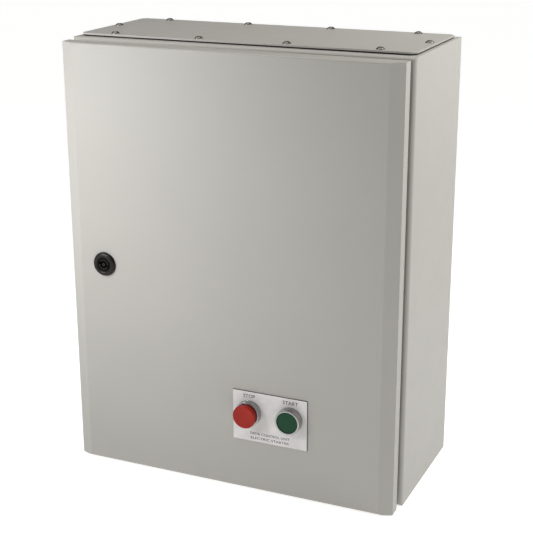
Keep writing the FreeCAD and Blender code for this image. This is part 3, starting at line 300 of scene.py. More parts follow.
FINISHES = (
    ("powder_coat", powder_coat, (0.378, 0.366, 0.337), {}),
    ("zinc_steel", plated_steel, (0.44, 0.43, 0.40), {}),
    # Dark screw heads; their edge gain of 2.4 paints a bright highlight along the rims.
    ("screw_steel", plated_steel, (0.21, 0.2, 0.175), {"rough": 0.24, "edge": 2.4}),
    ("rail_steel", plated_steel, (0.62, 0.58, 0.46), {"rough": 0.34}),
    ("galvanised", galvanised, (0.52, 0.54, 0.55), {}),
    ("lamination", laminated, (0.34, 0.35, 0.37), {}),
    ("satin_chrome", turned_metal, (0.36, 0.36, 0.35), {"rough": 0.24}),
    ("black_seal", foam, (0.018, 0.018, 0.02), {}),
    ("black_plastic", moulded, (0.0095, 0.0075, 0.006), {"rough": 0.34, "specular": 0.25}),
    ("insert_black", moulded, (0.008, 0.0065, 0.0055), {"rough": 0.5, "specular": 0.12}),
    ("dark_plastic", moulded, (0.028, 0.03, 0.032), {"rough": 0.5}),
    ("grey_plastic", moulded, (0.25, 0.26, 0.26), {"rough": 0.52}),
    ("light_plastic", moulded, (0.62, 0.62, 0.58), {"rough": 0.48}),
    ("red_plastic", gloss_plastic, (0.3, 0.0135, 0.0065), {"rough": 0.3, "specular": 0.22}),
    ("green_plastic", gloss_plastic, (0.004, 0.046, 0.018), {"rough": 0.3, "specular": 0.2}),
    ("blue_plastic", gloss_plastic, (0.01, 0.06, 0.26), {}),
    ("white_laminate", gloss_plastic, (0.63, 0.61, 0.6), {"rough": 0.3}),
    ("copper_wire", windings, (0.45, 0.13, 0.045), {}),
    ("brass_contact", plated_steel, (0.66, 0.48, 0.24), {"rough": 0.28}),
    ("earth_plastic", moulded, (0.10, 0.33, 0.04), {"rough": 0.45}),
    ("lead_insulation", gloss_plastic, (0.02, 0.02, 0.022), {"rough": 0.38}),
    # Dark laminate core, darkened further so that it also paints the shade along the legend plate's
    # edges.
    ("laminate_core", moulded, (0.02, 0.02, 0.022), {"rough": 0.45}),
    ("legend_ink", moulded, (0.035, 0.035, 0.04), {"rough": 0.5}),
    ("lead_brown", gloss_plastic, (0.10, 0.035, 0.012), {"rough": 0.38}),
    ("lead_grey", gloss_plastic, (0.22, 0.22, 0.22), {"rough": 0.38}),
    ("lead_yellow", gloss_plastic, (0.62, 0.46, 0.02), {"rough": 0.38}),
)
MATERIALS = {name: make(name, colour, **settings)
             for name, make, colour, settings in FINISHES}


# ---------------------------------------------------------------- mesh helpers
SHARP_ANGLE = 40
LATHE_SHARP_ANGLE = 32
TUBE_SHARP_ANGLE = 60
SOFTEN_FROM_ANGLE = 28
FINE_FROM_ANGLE = 30
FLAT_ANGLE = 0.6
FLAT_FACE_WEIGHT = 100
MERGE_DISTANCE = 2e-6
AXIS_RADIUS = 1e-7
POINTS_PER_TURN = 28


def link_object(name, mesh):
    obj = bpy.data.objects.new(name, mesh)
    bpy.context.scene.collection.objects.link(obj)
    return obj


def smooth(obj, angle=SHARP_ANGLE):
    """Smooth shading that keeps edges sharper than angle, with flats left truly flat."""
    for polygon in obj.data.polygons:
        polygon.use_smooth = True
    obj.data.set_sharp_from_angle(angle=math.radians(angle))
    weighted = obj.modifiers.new("WeightedNormal", "WEIGHTED_NORMAL")
    weighted.weight = FLAT_FACE_WEIGHT
    weighted.keep_sharp = True
    return modified(obj)


def finish_piece(obj, material, body, replaced=()):
    """Material, body and replaced CAD nodes of one piece."""
    obj.data.materials.clear()
    obj.data.materials.append(MATERIALS[material])
    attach(obj, body)
    if replaced:
        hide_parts(*replaced)
    return obj


def mesh_from(name, build):
    """An object whose mesh is filled by build(bm)."""
    bm = bmesh.new()
    build(bm)
    bmesh.ops.recalc_face_normals(bm, faces=bm.faces)
    mesh = bpy.data.meshes.new(name)
    bm.to_mesh(mesh)
    bm.free()
    return link_object(name, mesh)


def modified(obj):
    """Apply the object's modifiers to its mesh."""
    bpy.context.view_layer.update()
    graph = bpy.context.evaluated_depsgraph_get()
    mesh = bpy.data.meshes.new_from_object(obj.evaluated_get(graph))
    obj.modifiers.clear()
    obj.data = mesh
    return obj


def add_bevel(obj, width, segments, angle):
    bevel = obj.modifiers.new("Bevel", "BEVEL")
    bevel.width = width
    bevel.segments = segments
    bevel.limit_method = "ANGLE"
    bevel.angle_limit = math.radians(angle)
    modified(obj)
    return smooth(obj)


def softened(node, width, segments):
    """A copy of a CAD node with merged flats and rounded edges, standing for that node."""
    bm = bmesh.new()
    bm.from_mesh(NODES[node].data)
    bmesh.ops.remove_doubles(bm, verts=bm.verts, dist=MERGE_DISTANCE)
    bmesh.ops.dissolve_limit(bm, angle_limit=math.radians(FLAT_ANGLE), verts=bm.verts,
                             edges=bm.edges)
    mesh = bpy.data.meshes.new(node + "_soft")
    bm.to_mesh(mesh)
    bm.free()
    return add_bevel(link_object(node + "_soft", mesh), width, segments, SOFTEN_FROM_ANGLE)


def soften_node(node, width, material=None, segments=2):
    obj = softened(node, width, segments)
    return finish_piece(obj, material or SLOT_OF[node], BODY_OF[node], (node,))


def soften_nodes(widths):
    """Soften several nodes; widths gives each node's edge width in millimetres."""
    for node, width in widths.items():
        soften_node(node, width * MM)


def lathe(name, profile, centre, segments=96, axis="y"):
    """Turn a closed profile of (along, radius) about the y or z axis through centre.

    In the profiles below, the small steps between the named sizes shape and round the edges.
    """
    def build(bm):
        rings = []
        for along, radius in profile:
            if radius < AXIS_RADIUS:
                rings.append([bm.verts.new(turn_point(along, 0.0, 0.0, centre, axis))])
                continue
            ring = []
            for step in range(segments):
                angle = 2 * math.pi * step / segments
                ring.append(bm.verts.new(turn_point(along, radius, angle, centre, axis)))
            rings.append(ring)
        closed = profile[0][1] > AXIS_RADIUS or profile[-1][1] > AXIS_RADIUS
        pairs = list(zip(rings, rings[1:]))
        if closed:
            pairs.append((rings[-1], rings[0]))
        for first, second in pairs:
            bridge(bm, first, second, segments)
    return smooth(mesh_from(name, build), LATHE_SHARP_ANGLE)


def turn_point(along, radius, angle, centre, axis):
    across, up = radius * math.cos(angle), radius * math.sin(angle)
    if axis == "y":
        return (centre[0] + across, along, centre[1] + up)
    return (centre[0] + across, centre[1] + up, along)


def bridge(bm, first, second, segments):
    """Faces between two rings, either of which may be a single point."""
    if len(first) == 1 and len(second) == 1:
        return
    for step in range(segments):
        after = (step + 1) % segments
        if len(first) == 1:
            bm.faces.new((first[0], second[after], second[step]))
        elif len(second) == 1:
            bm.faces.new((first[step], first[after], second[0]))
        else:
            bm.faces.new((first[step], first[after], second[after], second[step]))


def box_piece(name, low, high, width, segments=2):
    """A box with rounded edges between two corners."""
    def build(bm):
        made = bmesh.ops.create_cube(bm, size=1.0)
        size = [top - bottom for bottom, top in zip(low, high)]
        middle = [(top + bottom) / 2 for bottom, top in zip(low, high)]
        for vert in made["verts"]:
            vert.co = Vector([m + c * s for m, c, s in zip(middle, vert.co, size)])
        if width:
            bmesh.ops.bevel(bm, geom=bm.edges[:], offset=width, segments=segments,
                            affect="EDGES", profile=0.5)
    return smooth(mesh_from(name, build))


def cut_by(obj, *cutters):
    """Subtract closed cutter objects, which are then removed."""
    for cutter in cutters:
        modifier = obj.modifiers.new("Cut", "BOOLEAN")
        modifier.operation = "DIFFERENCE"
        modifier.solver = "EXACT"
        modifier.object = cutter
    modified(obj)
    for cutter in cutters:
        bpy.data.objects.remove(cutter)
    return obj


def fine_bevel(obj, width, segments=2):
    return add_bevel(obj, width, segments, FINE_FROM_ANGLE)


def joined(name, objects):
    """Join several meshes into one object, keeping their materials."""
    bm = bmesh.new()
    materials = []
    for obj in objects:
        offset = len(materials)
        materials += list(obj.data.materials)
        start = len(bm.faces)
        bm.from_mesh(obj.data)
        bm.faces.ensure_lookup_table()
        for face in bm.faces[start:]:
            face.material_index += offset
    mesh = bpy.data.meshes.new(name)
    bm.to_mesh(mesh)
    bm.free()
    for material in materials:
        mesh.materials.append(material)
    for obj in objects:
        bpy.data.objects.remove(obj)
    return smooth(link_object(name, mesh))


def centre_of(node):
    low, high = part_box(node)
    return [(a + b) / 2 for a, b in zip(low, high)]


# ---------------------------------------------------------------- camera, light and floor
LENS = 84.64
SENSOR_WIDTH = 36.0
VIEW_DISTANCE = 60.0
CAMERA_PLACE = (0.5703, -1.2814, 0.6902)
CAMERA_FORWARD = (-0.38705, 0.86803, -0.31098)
CAMERA_UPWARD = (-0.12332, 0.2855, 0.95041)
KEY_SPREAD = 64
HORIZON_BAND = 0.07
HORIZON_FADE = 0.05
HORIZON_WHITE = (0.96, 0.96, 0.96)
SKY = (0.05, 0.049, 0.047)
FLOOR_SIZE = 80.0
FLOOR_GAP = 0.0002
FLOOR_GLOW = 0.69


def add_camera():
    data = bpy.data.cameras.new("camera")
    data.lens = LENS
    data.sensor_width = SENSOR_WIDTH
    data.clip_end = VIEW_DISTANCE
    camera = link_object("camera", data)
    forward = Vector(CAMERA_FORWARD).normalized()
    right = forward.cross(Vector(CAMERA_UPWARD)).normalized()
    true_up = right.cross(forward)
    turn = Matrix((right, true_up, -forward)).transposed().to_4x4()
    camera.matrix_world = Matrix.Translation(CAMERA_PLACE) @ turn
    bpy.context.scene.camera = camera


def add_area(name, place, target, size, power, colour):
    data = bpy.data.lights.new(name, "AREA")
    data.shape = "RECTANGLE"
    data.size, data.size_y = size
    data.energy = power
    data.color = colour
    lamp = link_object(name, data)
    lamp.location = place
    lamp.rotation_euler = (Vector(target) - Vector(place)).to_track_quat("-Z", "Y").to_euler()
    return lamp


def add_sun(name, strength, angle, lean):
    data = bpy.data.lights.new(name, "SUN")
    data.energy = strength
    data.angle = math.radians(angle)
    lamp = link_object(name, data)
    lamp.rotation_euler = [math.radians(turn) for turn in lean]


def add_world():
    """White just under the horizon, where the floor ends, and a dim sky above it."""
    world = bpy.data.worlds.new("studio")
    bpy.context.scene.world = world
    world.use_nodes = True
    tree = world.node_tree
    backdrop = tree.nodes["Background"]
    place = tree.nodes.new("ShaderNodeTexCoord")
    split = tree.nodes.new("ShaderNodeSeparateXYZ")
    rise = tree.nodes.new("ShaderNodeValToRGB")
    tree.links.new(place.outputs["Generated"], split.inputs["Vector"])
    tree.links.new(split.outputs["Z"], rise.inputs["Fac"])
    tree.links.new(rise.outputs["Color"], backdrop.inputs["Color"])
    low, high = rise.color_ramp.elements
    low.position, low.color = HORIZON_BAND, (*HORIZON_WHITE, 1.0)
    high.position, high.color = HORIZON_BAND + HORIZON_FADE, (*SKY, 1.0)


def add_lights():
    key = add_area("key", place=(-0.46, -0.66, 0.6), target=(-0.21, -0.114, 0.36),
                   size=(0.28, 0.4), power=0.89, colour=(0.97, 0.98, 1.0))
    key.data.spread = math.radians(KEY_SPREAD)
    add_area("side", place=(0.7, 0.22, 1.04), target=(0.2, 0.0, 0.44), size=(0.5, 0.4),
             power=8.3, colour=(1.0, 0.99, 0.96))
    add_sun("overhead", strength=1.42, angle=70, lean=(6, -8, 0))


def add_floor():
    bm = bmesh.new()
    bmesh.ops.create_grid(bm, x_segments=1, y_segments=1, size=FLOOR_SIZE)
    mesh = bpy.data.meshes.new("floor")
    bm.to_mesh(mesh)
    bm.free()
    floor = link_object("floor", mesh)
    floor.location.z = CAD_BOX[0][2] - FLOOR_GAP
    graph = Graph("floor", roughness=0.9, specular=0.05)
    graph.colour(graph.ramp(graph.noise(scale=3.0), [(0.3, (0.60, 0.60, 0.595)),
                                                     (0.7, (0.61, 0.61, 0.605))]))
    graph.shader.inputs["Emission Color"].default_value = (1.0, 1.0, 0.995, 1.0)
    graph.shader.inputs["Emission Strength"].default_value = FLOOR_GLOW
    mesh.materials.append(graph.material)


def add_stage():
    add_world()
    add_lights()
    add_floor()
    settings = bpy.context.scene.view_settings
    settings.view_transform = "Standard"
    settings.look = "None"


# ---------------------------------------------------------------- enclosure and door
def build_shell():
    soften_node("enclosure_body", 0.5 * MM, segments=3)
    soften_node("door", 0.9 * MM, segments=4)
    soften_nodes({"gland_plate": 0.3, "gland_gasket": 0.2})
    soften_node("door_gasket", 1.6 * MM, segments=4)
    for place in ("upper", "lower"):
        soften_nodes({f"hinge_{place}_frame_leaf": 0.25, f"hinge_{place}_door_leaf": 0.25,
                      f"hinge_{place}_pin": 0.3})


def pan_screw(name, seat, head, rise, shank, length):
    """Pan-head screw with a domed crown, a washer-like rim and a tapered cross recess."""
    x, y, z = seat
    steps, roundness = 10, 2.6
    arm_length, arm_half_width, arm_depth, cone_depth = 2.9, 0.7, 1.5 * MM, 1.7 * MM
    crown = [(z + rise * (1 - (step / steps) ** roundness) * 0.98 + 0.02 * MM,
              head * step / steps) for step in range(steps)]
    profile = crown + [(z + rise * 0.22, head * 0.985), (z + rise * 0.08, head),
                       (z, head * 0.97), (z, shank), (z - length + 0.8 * MM, shank),
                       (z - length, shank * 0.6), (z - length, 0.0)]
    screw = lathe(name, profile, (x, y), segments=48, axis="z")
    cutters = []
    for across, along in ((arm_length, arm_half_width), (arm_half_width, arm_length)):
        cutters.append(box_piece("cutter",
                                 (x - across * MM, y - along * MM, z + rise - arm_depth),
                                 (x + across * MM, y + along * MM, z + rise + 2 * MM), width=0))
    cutters.append(lathe("cutter", [(z + rise - cone_depth, 0.0),
                                    (z + rise - cone_depth, 0.7 * MM),
                                    (z + rise + 1 * MM, 1.7 * MM), (z + rise + 1 * MM, 0.0)],
                         (x, y), segments=32, axis="z"))
    cut_by(screw, *cutters)
    return fine_bevel(screw, width=0.08 * MM)


def build_gland_screws():
    """Ten separate screws; each stands on the gland plate at its hole."""
    low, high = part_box("gland_plate_screws")
    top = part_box("gland_plate")[1][2]
    head, shank = 4.8 * MM, 2.4 * MM
    rise = high[2] - top
    columns = (155.5 * MM, 51.8 * MM)
    row = high[1] - head
    first_turn, turn_step = 17, 37
    spots = [(side * x, sign * row) for x in columns for side in (-1, 1) for sign in (-1, 1)]
    spots += [(low[0] + head, 0.0), (high[0] - head, 0.0)]
    screws = []
    for index, (x, y) in enumerate(spots):
        screw = pan_screw("screw", (0, 0, top), head, rise, shank, top - low[2])
        turn = Matrix.Rotation(math.radians(first_turn + index * turn_step), 4, "Z")
        screw.data.transform(Matrix.Translation((x, y, 0)) @ turn)
        screws.append(screw)
    whole = joined("gland_screws", screws)
    # screw_steel paints a bright highlight on the rims of the screw heads.
    finish_piece(whole, "screw_steel", "enclosure", ("gland_plate_screws",))


# ---------------------------------------------------------------- lock
KEY_TILT = 16.0


def build_lock():
    """Black lock body with a domed collar, and the key insert turning inside it."""
    x, _, z = centre_of("lock_housing")
    low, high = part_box("lock_housing")
    front, rear, r = low[1], high[1], (high[0] - low[0]) / 2
    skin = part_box("door")[0][1]
    dome_steps, dome_rise, dome_width, lip = 8, 3.2 * MM, 3.4 * MM, 0.15 * MM
    barrel, bore, mouth, mouth_depth = 11 * MM, 6.46 * MM, 8.3 * MM, 4 * MM
    dome = [(front + dome_rise * (1 - math.cos(step * math.pi / 2 / dome_steps)) + lip,
             r - dome_width + dome_width * math.sin(step * math.pi / 2 / dome_steps))
            for step in range(dome_steps + 1)]
    housing = lathe("lock_body", [
        (front + 1.1 * MM, mouth), (front + 0.3 * MM, 9.0 * MM), (front, 9.6 * MM),
        (front, r - 3.8 * MM)] + dome + [
        (skin - 0.01 * MM, r), (skin - 0.01 * MM, barrel), (rear, barrel),
        (rear, bore), (front + mouth_depth, bore), (front + mouth_depth, mouth)], (x, z))
    finish_piece(housing, "black_plastic", "door", ("lock_housing",))
    build_lock_insert(x, z, rear + 0.2 * MM)
    soften_nodes({"lock_nut": 0.3, "lock_cam": 0.35, "lock_cam_screw": 0.3})


def build_lock_insert(x, z, shoulder):
    """Key insert: a ring-shaped well with two bits, and a square drive behind its shoulder."""
    low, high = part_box("lock_core")
    face, end = low[1], high[1]
    flange, spindle = 8.15 * MM, 6.4 * MM
    core = lathe("lock_insert", [
        (face, 0.0), (face, 6.1 * MM), (face + 0.25 * MM, 6.4 * MM), (face + 1.2 * MM, 6.5 * MM),
        (face + 1.2 * MM, 7.5 * MM), (face + 0.4 * MM, 7.6 * MM), (face + 0.3 * MM, 8.1 * MM),
        (face + 3.0 * MM, flange), (face + 3.0 * MM, spindle), (shoulder, spindle),
        (shoulder, 0.0)], (x, z))
    depth, clear = face + 7 * MM, face - 1 * MM
    key_pin, key_ring = 2.1 * MM, 4.4 * MM
    well = lathe("cutter", [(clear, key_pin), (depth, key_pin), (depth, key_ring),
                            (clear, key_ring)], (x, z), segments=64)
    bit_inner, bit_outer, bit_half = 4.0 * MM, 7.0 * MM, 1.5 * MM
    bits = []
    for side in (-1, 1):
        near, far = sorted((bit_inner * side, bit_outer * side))
        bit = box_piece("cutter", (x + near, clear, z - bit_half),
                        (x + far, depth, z + bit_half), width=0)
        turn_about(bit, (x, 0, z), "Y", KEY_TILT)
        bits.append(bit)
    cut_by(core, well, *bits)
    fine_bevel(core, width=0.15 * MM)
    drive_half = 4 * MM
    drive = box_piece("drive", (x - drive_half, shoulder, z - drive_half),
                      (x + drive_half, end, z + drive_half), width=0.3 * MM)
    whole = joined("lock_key_insert", [core, drive])
    finish_piece(whole, "insert_black", "lock_cam", ("lock_core",))


def turn_about(obj, pivot, axis, degrees):
    shift = Matrix.Translation(pivot)
    obj.data.transform(shift @ Matrix.Rotation(math.radians(degrees), 4, axis) @ shift.inverted())


# ---------------------------------------------------------------- legend plate and buttons
FONT_SCALE = 1.25
STROKE_GAIN = 0.012
BEZEL_BACK_WALL = 3 * MM


def plate_layer(name, low, high, width):
    """One layer of the engraved plate, with the two button holes cut through."""
    layer = box_piece(name, low, high, width=0)
    hole = 11.2 * MM
    cutters = []
    for node in ("stop_bezel", "start_bezel"):
        x, _, z = centre_of(node)
        cutters.append(lathe("cutter", [(low[1] - MM, 0.0), (low[1] - MM, hole),
                                        (high[1] + MM, hole), (high[1] + MM, 0.0)],
                             (x, z), segments=64))
    cut_by(layer, *cutters)
    return fine_bevel(layer, width)


def build_legend():
    """White plate on a dark core, with engraved words filled with ink. The core is thick and dark,
    so the dark band it shows at the plate's edges is partly the laminate's own core and partly
    painted shade.
    """
    low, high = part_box("legend_plate")
    # The thin face layer and its inset leave a wide band of dark core at the edges: partly the real
    # core, partly painted shade.
    inset, skin, seam = 0.15 * MM, 0.03 * MM, low[1] + 0.3 * MM
    core = plate_layer("legend_core_and_edge_shade", (low[0], seam, low[2]), tuple(high), width=0.08 * MM)
    finish_piece(core, "laminate_core", "door", ("legend_plate",))
    face = plate_layer("legend_face", (low[0] + inset, low[1] + skin, low[2] + inset),
                       (high[0] - inset, seam, high[2] - inset), width=0.12 * MM)
    finish_piece(face, "white_laminate", "door")
    stop_x, start_x = centre_of("stop_bezel")[0], centre_of("start_bezel")[0]
    middle = (low[0] + high[0]) / 2
    plane = low[1] + 0.02 * MM
    title_z, title_size, line_size = high[2] - 7.6 * MM, 4.9 * MM, 3.4 * MM
    upper_z, lower_z = low[2] + 8.6 * MM, low[2] + 3.2 * MM
    words = (("legend_stop", "STOP", stop_x, title_z, title_size, 14.4 * MM),
             ("legend_start", "START", start_x, title_z, title_size, 18.3 * MM),
             ("legend_line_upper", "DRIVE CONTROL UNIT", middle, upper_z, line_size, 48.5 * MM),
             ("legend_line_lower", "ELECTRIC STARTER", middle, lower_z, line_size, 47 * MM))
    for name, text, x, z, size, width in words:
        engrave(name, text, (x, plane, z), size, width)


def engrave(name, text, place, size, width):
    """Thin filled letters, set to a given width, with their foot at place."""
    curve = bpy.data.curves.new(name, "FONT")
    curve.body = text
    curve.size = size * FONT_SCALE
    curve.align_x = "CENTER"
    curve.extrude = 0.01 * MM
    curve.offset = size * STROKE_GAIN
    source = link_object(name + "_curve", curve)
    bpy.context.view_layer.update()
    graph = bpy.context.evaluated_depsgraph_get()
    mesh = bpy.data.meshes.new_from_object(source.evaluated_get(graph))
    bpy.data.objects.remove(source)
    across = [vertex.co.x for vertex in mesh.vertices]
    stretch = width / (max(across) - min(across))
    mesh.transform(Matrix.Translation(place) @ Matrix.Rotation(math.pi / 2, 4, "X")
                   @ Matrix.Diagonal((stretch, 1.0, 1.0, 1.0)))
    letters = link_object(name, mesh)
    finish_piece(letters, "legend_ink", "door")


def build_bezel(name):
    """Satin bezel with a rounded rim, a groove at its foot and a barrel behind the door."""
    node = name + "_bezel"
    x, _, z = centre_of(node)
    low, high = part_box(node)
    front, rear, r = low[1], high[1], (high[0] - low[0]) / 2
    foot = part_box("legend_plate")[0][1]
    bore, barrel, well, stem_hole = 12.5 * MM, 11 * MM, 9.5 * MM, 3.7 * MM
    well_mouth, back_wall = foot - 1.5 * MM, rear - BEZEL_BACK_WALL
    bezel = lathe(name + "_ring", [
        (front + 0.5 * MM, bore), (front + 0.12 * MM, bore + 0.15 * MM), (front, bore + 0.5 * MM),
        (front + 0.05 * MM, r - 0.8 * MM), (front + 0.3 * MM, r - 0.3 * MM),
        (front + 0.8 * MM, r - 0.05 * MM), (front + 1.2 * MM, r), (foot - 0.8 * MM, r),
        (foot - 0.7 * MM, r - 0.2 * MM), (foot - 0.5 * MM, r - 0.2 * MM), (foot - 0.4 * MM, r),
        (foot, r), (foot, barrel), (rear, barrel),
        (rear, stem_hole), (back_wall, stem_hole), (back_wall, well),
        (well_mouth, well), (well_mouth, bore)], (x, z), segments=128)
    finish_piece(bezel, "satin_chrome", "door", (node,))


def build_heads():
    """Red STOP cap standing out of its bezel and green START cap set level with its rim."""
    skirt_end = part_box("legend_plate")[0][1] - 4.7 * MM
    back_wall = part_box("stop_bezel")[1][1] - BEZEL_BACK_WALL
    shoulder, stem, tip = back_wall - 3.2 * MM, 5 * MM, 3.6 * MM
    steps = 8
    x, _, z = centre_of("stop_head")
    low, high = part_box("stop_head")
    front, end, r = low[1], high[1], (high[0] - low[0]) / 2
    tail = [(skirt_end, stem), (shoulder, stem), (shoulder, tip), (end, tip), (end, 0.0)]
    dish_depth, dish_edge, skirt = 0.45 * MM, r - 1.7 * MM, 12.35 * MM
    dish = [(front + dish_depth * (1 - (step / steps) ** 6), dish_edge * step / steps)
            for step in range(steps + 1)]
    rim = [(front + 0.12 * MM, r - 1.1 * MM), (front + 0.6 * MM, r - 0.4 * MM),
           (front + 1.15 * MM, r - 0.08 * MM), (front + 1.6 * MM, r),
           (front + 2.5 * MM, r), (front + 2.8 * MM, r - 0.12 * MM),
           (front + 2.9 * MM, r - 0.4 * MM), (front + 2.9 * MM, skirt), (skirt_end, skirt)]
    stop = lathe("stop_cap", dish + rim + tail, (x, z), segments=128)
    finish_piece(stop, "red_plastic", "stop_button", ("stop_head",))
    x, _, z = centre_of("start_head")
    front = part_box("start_head")[0][1]
    crown_rise, crown_edge, skirt = 0.25 * MM, 11.2 * MM, 12.38 * MM
    crown = [(front + crown_rise * (step / steps) ** 2, crown_edge * step / steps)
             for step in range(steps + 1)]
    rim = [(front + 0.45 * MM, 11.9 * MM), (front + 0.9 * MM, 12.3 * MM),
           (front + 1.4 * MM, skirt), (skirt_end, skirt)]
    start = lathe("start_cap", crown + rim + tail, (x, z), segments=128)
    finish_piece(start, "green_plastic", "start_button", ("start_head",))


def helix(name, centre, start, end, radius, wire, turns):
    """Round-wire compression spring along Y, closed at both ends."""
    count = int(turns * POINTS_PER_TURN)
    points = []
    low, high = start + wire, end - wire
    for step in range(count + 1):
        share = step / count
        eased = min(max((share * (turns + 2) - 1) / turns, 0.0), 1.0)
        angle = 2 * math.pi * turns * share
        points.append(Vector((centre[0] + radius * math.cos(angle), low + (high - low) * eased,
                              centre[1] + radius * math.sin(angle))))
    return tube_along(name, points, wire, sides=10)


def tube_along(name, points, radius, sides):
    """A round tube with closed ends; radius is a length or a function of the way along."""
    def build(bm):
        rings = []
        tangent = (points[1] - points[0]).normalized()
        side = tangent.orthogonal().normalized()
        for index, point in enumerate(points):
            before = points[max(index - 1, 0)]
            after = points[min(index + 1, len(points) - 1)]
            tangent = (after - before).normalized()
            side = (side - tangent * side.dot(tangent)).normalized()
            other = tangent.cross(side)
            size = radius(index / (len(points) - 1)) if callable(radius) else radius
            ring = []
            for step in range(sides):
                angle = 2 * math.pi * step / sides
                offset = side * math.cos(angle) + other * math.sin(angle)
                ring.append(bm.verts.new(point + offset * size))
            rings.append(ring)
        for first, second in zip(rings, rings[1:]):
            bridge(bm, first, second, sides)
        bm.faces.new(rings[0][::-1])
        bm.faces.new(rings[-1])
    return smooth(mesh_from(name, build), TUBE_SHARP_ANGLE)


def finish_spring(spring, node):
    """Zinc steel for the spring, its placement baked into its mesh, and its CAD node hidden."""
    spring.data.materials.append(MATERIALS["zinc_steel"])
    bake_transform(spring)
    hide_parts(node)


def build_button_inner(name):
    """Spring, nut, plunger and contact block behind one push button."""
    x, _, z = centre_of(name + "_spring")
    low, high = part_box(name + "_spring")
    spring = helix(name + "_coil_spring", (x, z), low[1], high[1], radius=7.3 * MM,
                   wire=0.65 * MM, turns=6)
    finish_spring(spring, name + "_spring")
    soften_nodes({name + "_fixing_nut": 0.3, name + "_plunger": 0.3,
                  name + "_contact_block": 0.5})
    x, _, z = centre_of(name + "_contact_block")
    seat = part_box(name + "_contact_block")[1][1] - 14.2 * MM
    across, up, head, rise = 8 * MM, 17 * MM, 2.1 * MM, 1.6 * MM
    screws = [slotted_screw((x + dx, seat, z + dz), head, rise, facing=1)
              for dx in (-across, across) for dz in (-up, up)]
    whole = joined(name + "_block_screws", screws)
    finish_piece(whole, "brass_contact", "door")


def slotted_screw(seat, radius, rise, facing):
    """Cheese-head screw whose head rises from its seat along facing (1: +Y, -1: -Y)."""
    x, y, z = seat
    edge = 0.3 * MM
    top = y + rise * facing
    screw = lathe("screw", [(y, 0.0), (y, radius), (top - edge * facing, radius),
                            (top, radius - edge), (top, 0.0)], (x, z), segments=32)
    if facing < 0:
        screw.data.flip_normals()
    half_width, half_length = radius * 0.16, radius * 1.2
    floor = top - rise * 0.5 * facing
    low_y, high_y = sorted((floor, top + MM * facing))
    slot = box_piece("cutter", (x - half_length, low_y, z - half_width),
                     (x + half_length, high_y, z + half_width), width=0)
    turn_about(slot, (x, 0, z), "Y", slot_turn(x, z))
    return cut_by(screw, slot)


def slot_turn(x, z):
    """Degrees that a screw's slot is turned: scattered, but set by the screw's place."""
    return (x * 7919 + z * 104729) * 1000 % 180


# ---------------------------------------------------------------- gear on the mounting plate
def build_panel():
    soften_nodes({"mounting_plate": 0.3, "panel_studs": 0.3, "panel_nuts": 0.4})
    soften_node("din_rail", 0.25 * MM, material="rail_steel")
    soften_nodes({"trunking": 0.25, "trunking_lid": 0.4})


def build_contactor():
    """Contactor parts, its two return springs, a blank label and a row of vent ribs."""
    soften_nodes({"contactor_base": 0.6, "contactor_cover": 0.8, "contactor_core": 0.3,
                  "contactor_armature": 0.3, "contactor_coil": 1.5, "contactor_carrier": 0.4,
                  "contactor_bridges": 0.3, "contactor_fixed_contacts": 0.3,
                  "contactor_terminal_screws": 0.3})
    low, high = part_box("contactor_springs")
    z = (low[2] + high[2]) / 2
    radius, wire = (high[2] - low[2]) / 2, 0.4 * MM
    springs = [helix("spring", (x, z), low[1], high[1], radius - wire, wire, turns=8)
               for x in (low[0] + radius, high[0] - radius)]
    finish_spring(joined("contactor_coil_springs", springs), "contactor_springs")
    low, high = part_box("contactor_cover")
    margin, label_foot, label_top, label_lift = 14 * MM, 74 * MM, 88 * MM, 0.25 * MM
    label = box_piece("contactor_label", (low[0] + margin, low[1], low[2] + label_foot),
                      (high[0] - margin, low[1] + 0.4 * MM, low[2] + label_top), width=0.1 * MM)
    label.data.transform(Matrix.Translation((0, -label_lift, 0)))
    finish_piece(label, "light_plastic", "enclosure")
    count, pitch, width, half_depth = 6, 10 * MM, 5 * MM, 0.3 * MM
    foot, top = low[2] + 26 * MM, low[2] + 44 * MM
    ribs = []
    for step in range(count):
        x = low[0] + 20 * MM + step * pitch
        ribs.append(box_piece("rib", (x, low[1] - half_depth, foot),
                              (x + width, low[1] + half_depth, top), width=0.25 * MM))
    finish_piece(joined("contactor_ribs", ribs), "dark_plastic", "enclosure")


def build_overload():
    soften_nodes({"overload_housing": 0.8, "overload_dial": 0.4, "overload_reset_button": 0.4,
                  "overload_test_button": 0.4, "overload_link_bars": 0.3,
                  "overload_terminals": 0.3, "overload_bimetals": 0.2})
    low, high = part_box("overload_screws")
    radius = (high[2] - low[2]) / 2
    z = (low[2] + high[2]) / 2
    xs = (low[0] + radius, (low[0] + high[0]) / 2, high[0] - radius)
    screws = [slotted_screw((x, high[1], z), radius, high[1] - low[1], facing=-1) for x in xs]
    finish_piece(joined("overload_clamp_screws", screws), "zinc_steel", "enclosure",
                 ("overload_screws",))


def build_rail_gear():
    """Breaker and terminal row; each of the seven terminals has two screws and a marker."""
    soften_nodes({"breaker_housing": 0.6, "breaker_toggle": 0.5, "terminal_blocks": 0.35,
                  "earth_terminal": 0.35})
    low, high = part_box("terminal_blocks")
    count, pitch, middle = 7, 10 * MM, 4.85 * MM
    seat, from_end, head, rise = low[1] + 18 * MM, 7 * MM, 2.5 * MM, 2.0 * MM
    screws = [slotted_screw((low[0] + pitch * index + middle, seat, z), head, rise, facing=-1)
              for index in range(count) for z in (low[2] + from_end, high[2] - from_end)]
    finish_piece(joined("terminal_screws", screws), "brass_contact", "enclosure")
    side_gap, width, end_gap = 1.5 * MM, 6.7 * MM, 22 * MM
    markers = []
    for index in range(count):
        x = low[0] + pitch * index + side_gap
        markers.append(box_piece("marker", (x, low[1] - 0.25 * MM, low[2] + end_gap),
                                 (x + width, low[1] + 0.3 * MM, high[2] - end_gap), width=0.1 * MM))
    finish_piece(joined("terminal_markers", markers), "white_laminate", "enclosure")


# ---------------------------------------------------------------- wiring
LEAD_RADIUS = 2.1 * MM


